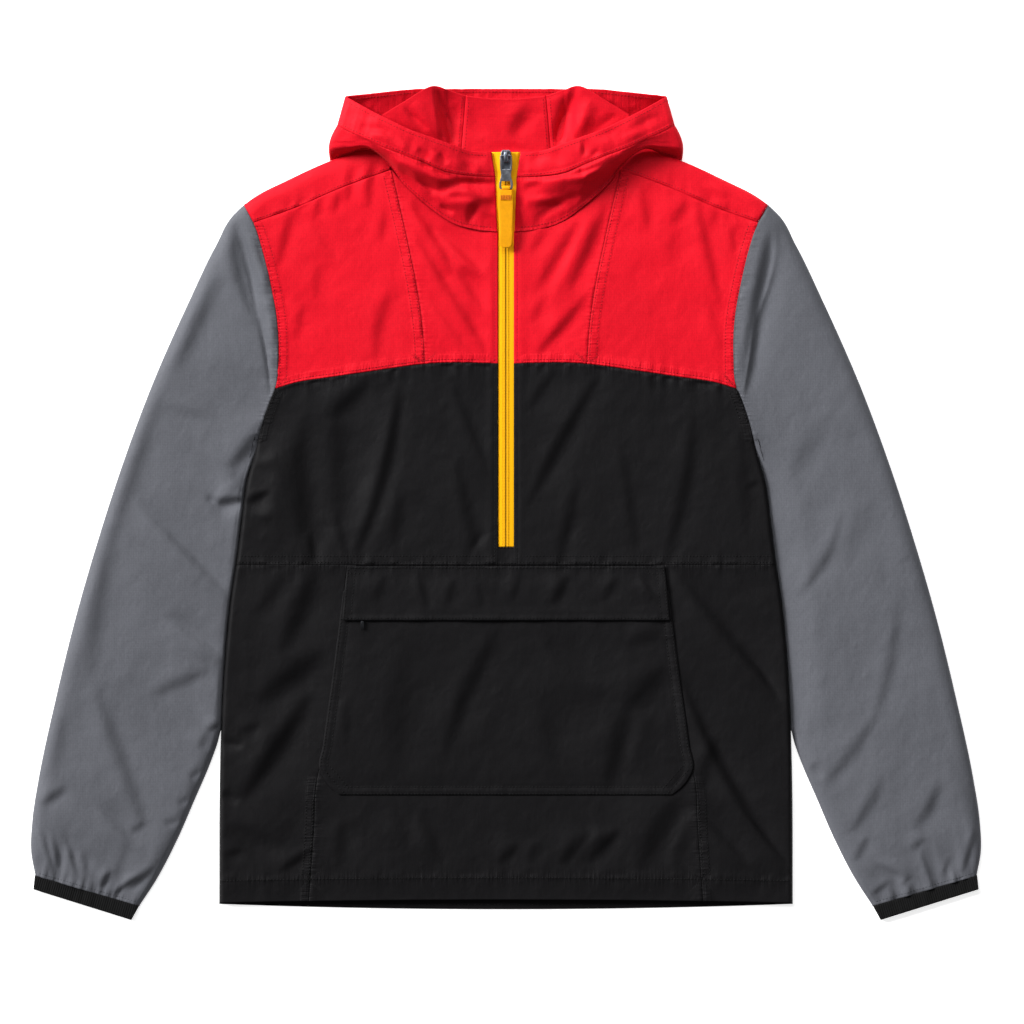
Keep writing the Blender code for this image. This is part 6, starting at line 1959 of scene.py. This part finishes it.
# %% Sheets: piece, node, slot, flat width and length in mm, what it rests on
SHEETS = (
    (back, "back_lower", "black_nylon", 576, 526, floor),
    (back_yoke, "back_yoke", "red_nylon", 540, 290, crown),
    (chest, "front_chest", "black_nylon", 542, 204, back),
    *both(lambda word: (yoke["centre_" + word], "yoke_centre_" + word, "red_nylon", 110, 198, back_yoke)),
    *both(lambda word: (yoke["side_" + word], "yoke_side_" + word, "red_nylon", 176, 212, back_yoke)),
    (lower["centre"], "front_lower_centre", "black_nylon", 400, 340, back),
    *both(lambda word: (lower[word], "front_lower_side_" + word, "black_nylon", 118, 342, back)),
    (pocket, "kangaroo_pocket", "black_nylon", 374, 208, lower["centre"]),
    (flap, "pocket_flap", "black_nylon", 330, 58, pocket),
    *both(lambda word: (sleeves[word], "sleeve_" + word, "grey_nylon", 330, 730, floor)),
    *both(lambda word: (cuffs[word], "cuff_" + word, "black_elastic", 226, 17, floor)),
    *both(lambda word: (hood["side_" + word], "hood_side_" + word, "red_nylon", 240, 84, back_yoke)),
    *both(lambda word: (hood["band_" + word], "hood_band_" + word, "red_nylon", 214, 46,
                        hood["side_" + word])),
    (hood["inner_centre"], "hood_inner_centre", "red_nylon", 116, 66, crown),
    *both(lambda word: (hood["inner_side_" + word], "hood_inner_side_" + word, "red_nylon", 84, 72,
                        crown)),
    (hood["back_band"], "hood_back_band", "red_nylon", 310, 27, crown),
    (crown, "hood_crown", "red_nylon", 348, 250, floor))
sheet_areas = {}
for piece, node, finish_slot, width, length, below in SHEETS:
    declare(piece, "garment", finish_slot, node)
    sheet_areas[piece.name] = min(measured_area(piece) * EASE, width * length / 100)
    width * MM
    length * MM
    sheet_areas[piece.name] * 1e-4
print("sheet areas, cm2:", {name: round(value) for name, value in sheet_areas.items()})

# %% The other pieces: piece, body, slot, node
for row in ((zip_chain, "garment", "yellow_zip", "zip_chain"),
            (slider, "garment", "gunmetal", "zip_slider"),
            (pocket_pull, "garment", "gunmetal", "pocket_zip_pull"),
            (pull, "pull", "gunmetal", "zip_pull"),
            (tab, "pull", "yellow_webbing", "zip_pull_tab"),
            (red_stitching, "garment", "red_nylon"),
            (black_stitching, "garment", "black_nylon"),
            (grey_stitching, "garment", "grey_nylon"),
            (bar_tack, "pull", "yellow_webbing")):
    declare(*row)
print("triangles of the shells:", sum(TRIANGLES.values()))

# %% [markdown]
# ## Light and camera
#
# The garment is shown as a catalogue shows it: flat, from straight above, with a long lens so that
# its edges are not seen at a slant. The main light is soft and low and comes from the upper left, so
# that every fold shows; weaker ones open up its shade.

# %% Lights
KEY_TILT, KEY_TURN = 62.0, 241.9   # degrees from straight down, and about the vertical


def area_light(name, place, aim, size, power):
    """A square soft light at a place, turned to face aim; metres and watts."""
    light = bpy.data.lights.new(name, "AREA")
    light.shape, light.size, light.energy = "SQUARE", size, power
    lamp = bpy.data.objects.new(name, light)
    lamp.location = place
    run = np.array(aim, float) - np.array(place, float)
    flat = math.hypot(run[0], run[1])
    lamp.rotation_euler = (math.atan2(flat, -run[2]), 0.0, math.atan2(run[1], run[0]) - math.pi / 2)
    bpy.context.scene.collection.objects.link(lamp)
    return lamp


key = bpy.data.lights.new("key light", "SUN")
key.energy, key.angle = 5.3, math.radians(22)
key_lamp = bpy.data.objects.new("key light", key)
key_lamp.rotation_euler = (math.radians(KEY_TILT), 0.0, math.radians(KEY_TURN))
bpy.context.scene.collection.objects.link(key_lamp)
area_light("top fill", (-0.2, 1.6, 1.3), (0, 0, 0), 1.2, 26)
area_light("right fill", (2.8, -0.8, 2.2), (0, 0, 0), 1.6, 10)
world = bpy.data.worlds.new("studio")
world.use_nodes = True
world.node_tree.nodes["Background"].inputs["Color"].default_value = (1.0, 1.0, 1.0, 1.0)
world.node_tree.nodes["Background"].inputs["Strength"].default_value = 0.12
bpy.context.scene.world = world
print("lights:", len(bpy.data.lights))

# %% Camera
LENS, SENSOR, FRAME_WIDTH = 200.0, 36.0, 1.024
AIM = (0.006, -0.009, 0.005)   # what the middle of the picture shows, in metres
camera_data = bpy.data.cameras.new("camera")
camera_data.lens, camera_data.sensor_width = LENS, SENSOR
camera_data.clip_end = 50.0
camera = bpy.data.objects.new("camera", camera_data)
camera.location = (AIM[0], AIM[1], AIM[2] + FRAME_WIDTH * LENS / SENSOR)
bpy.context.scene.collection.objects.link(camera)
bpy.context.scene.camera = camera
scene = bpy.context.scene
scene.view_settings.view_transform = "Standard"
scene.view_settings.look = "None"
scene.view_settings.exposure = 0.0
scene.view_settings.gamma = 1.0
print("camera height, m:", round(camera.location.z, 3))
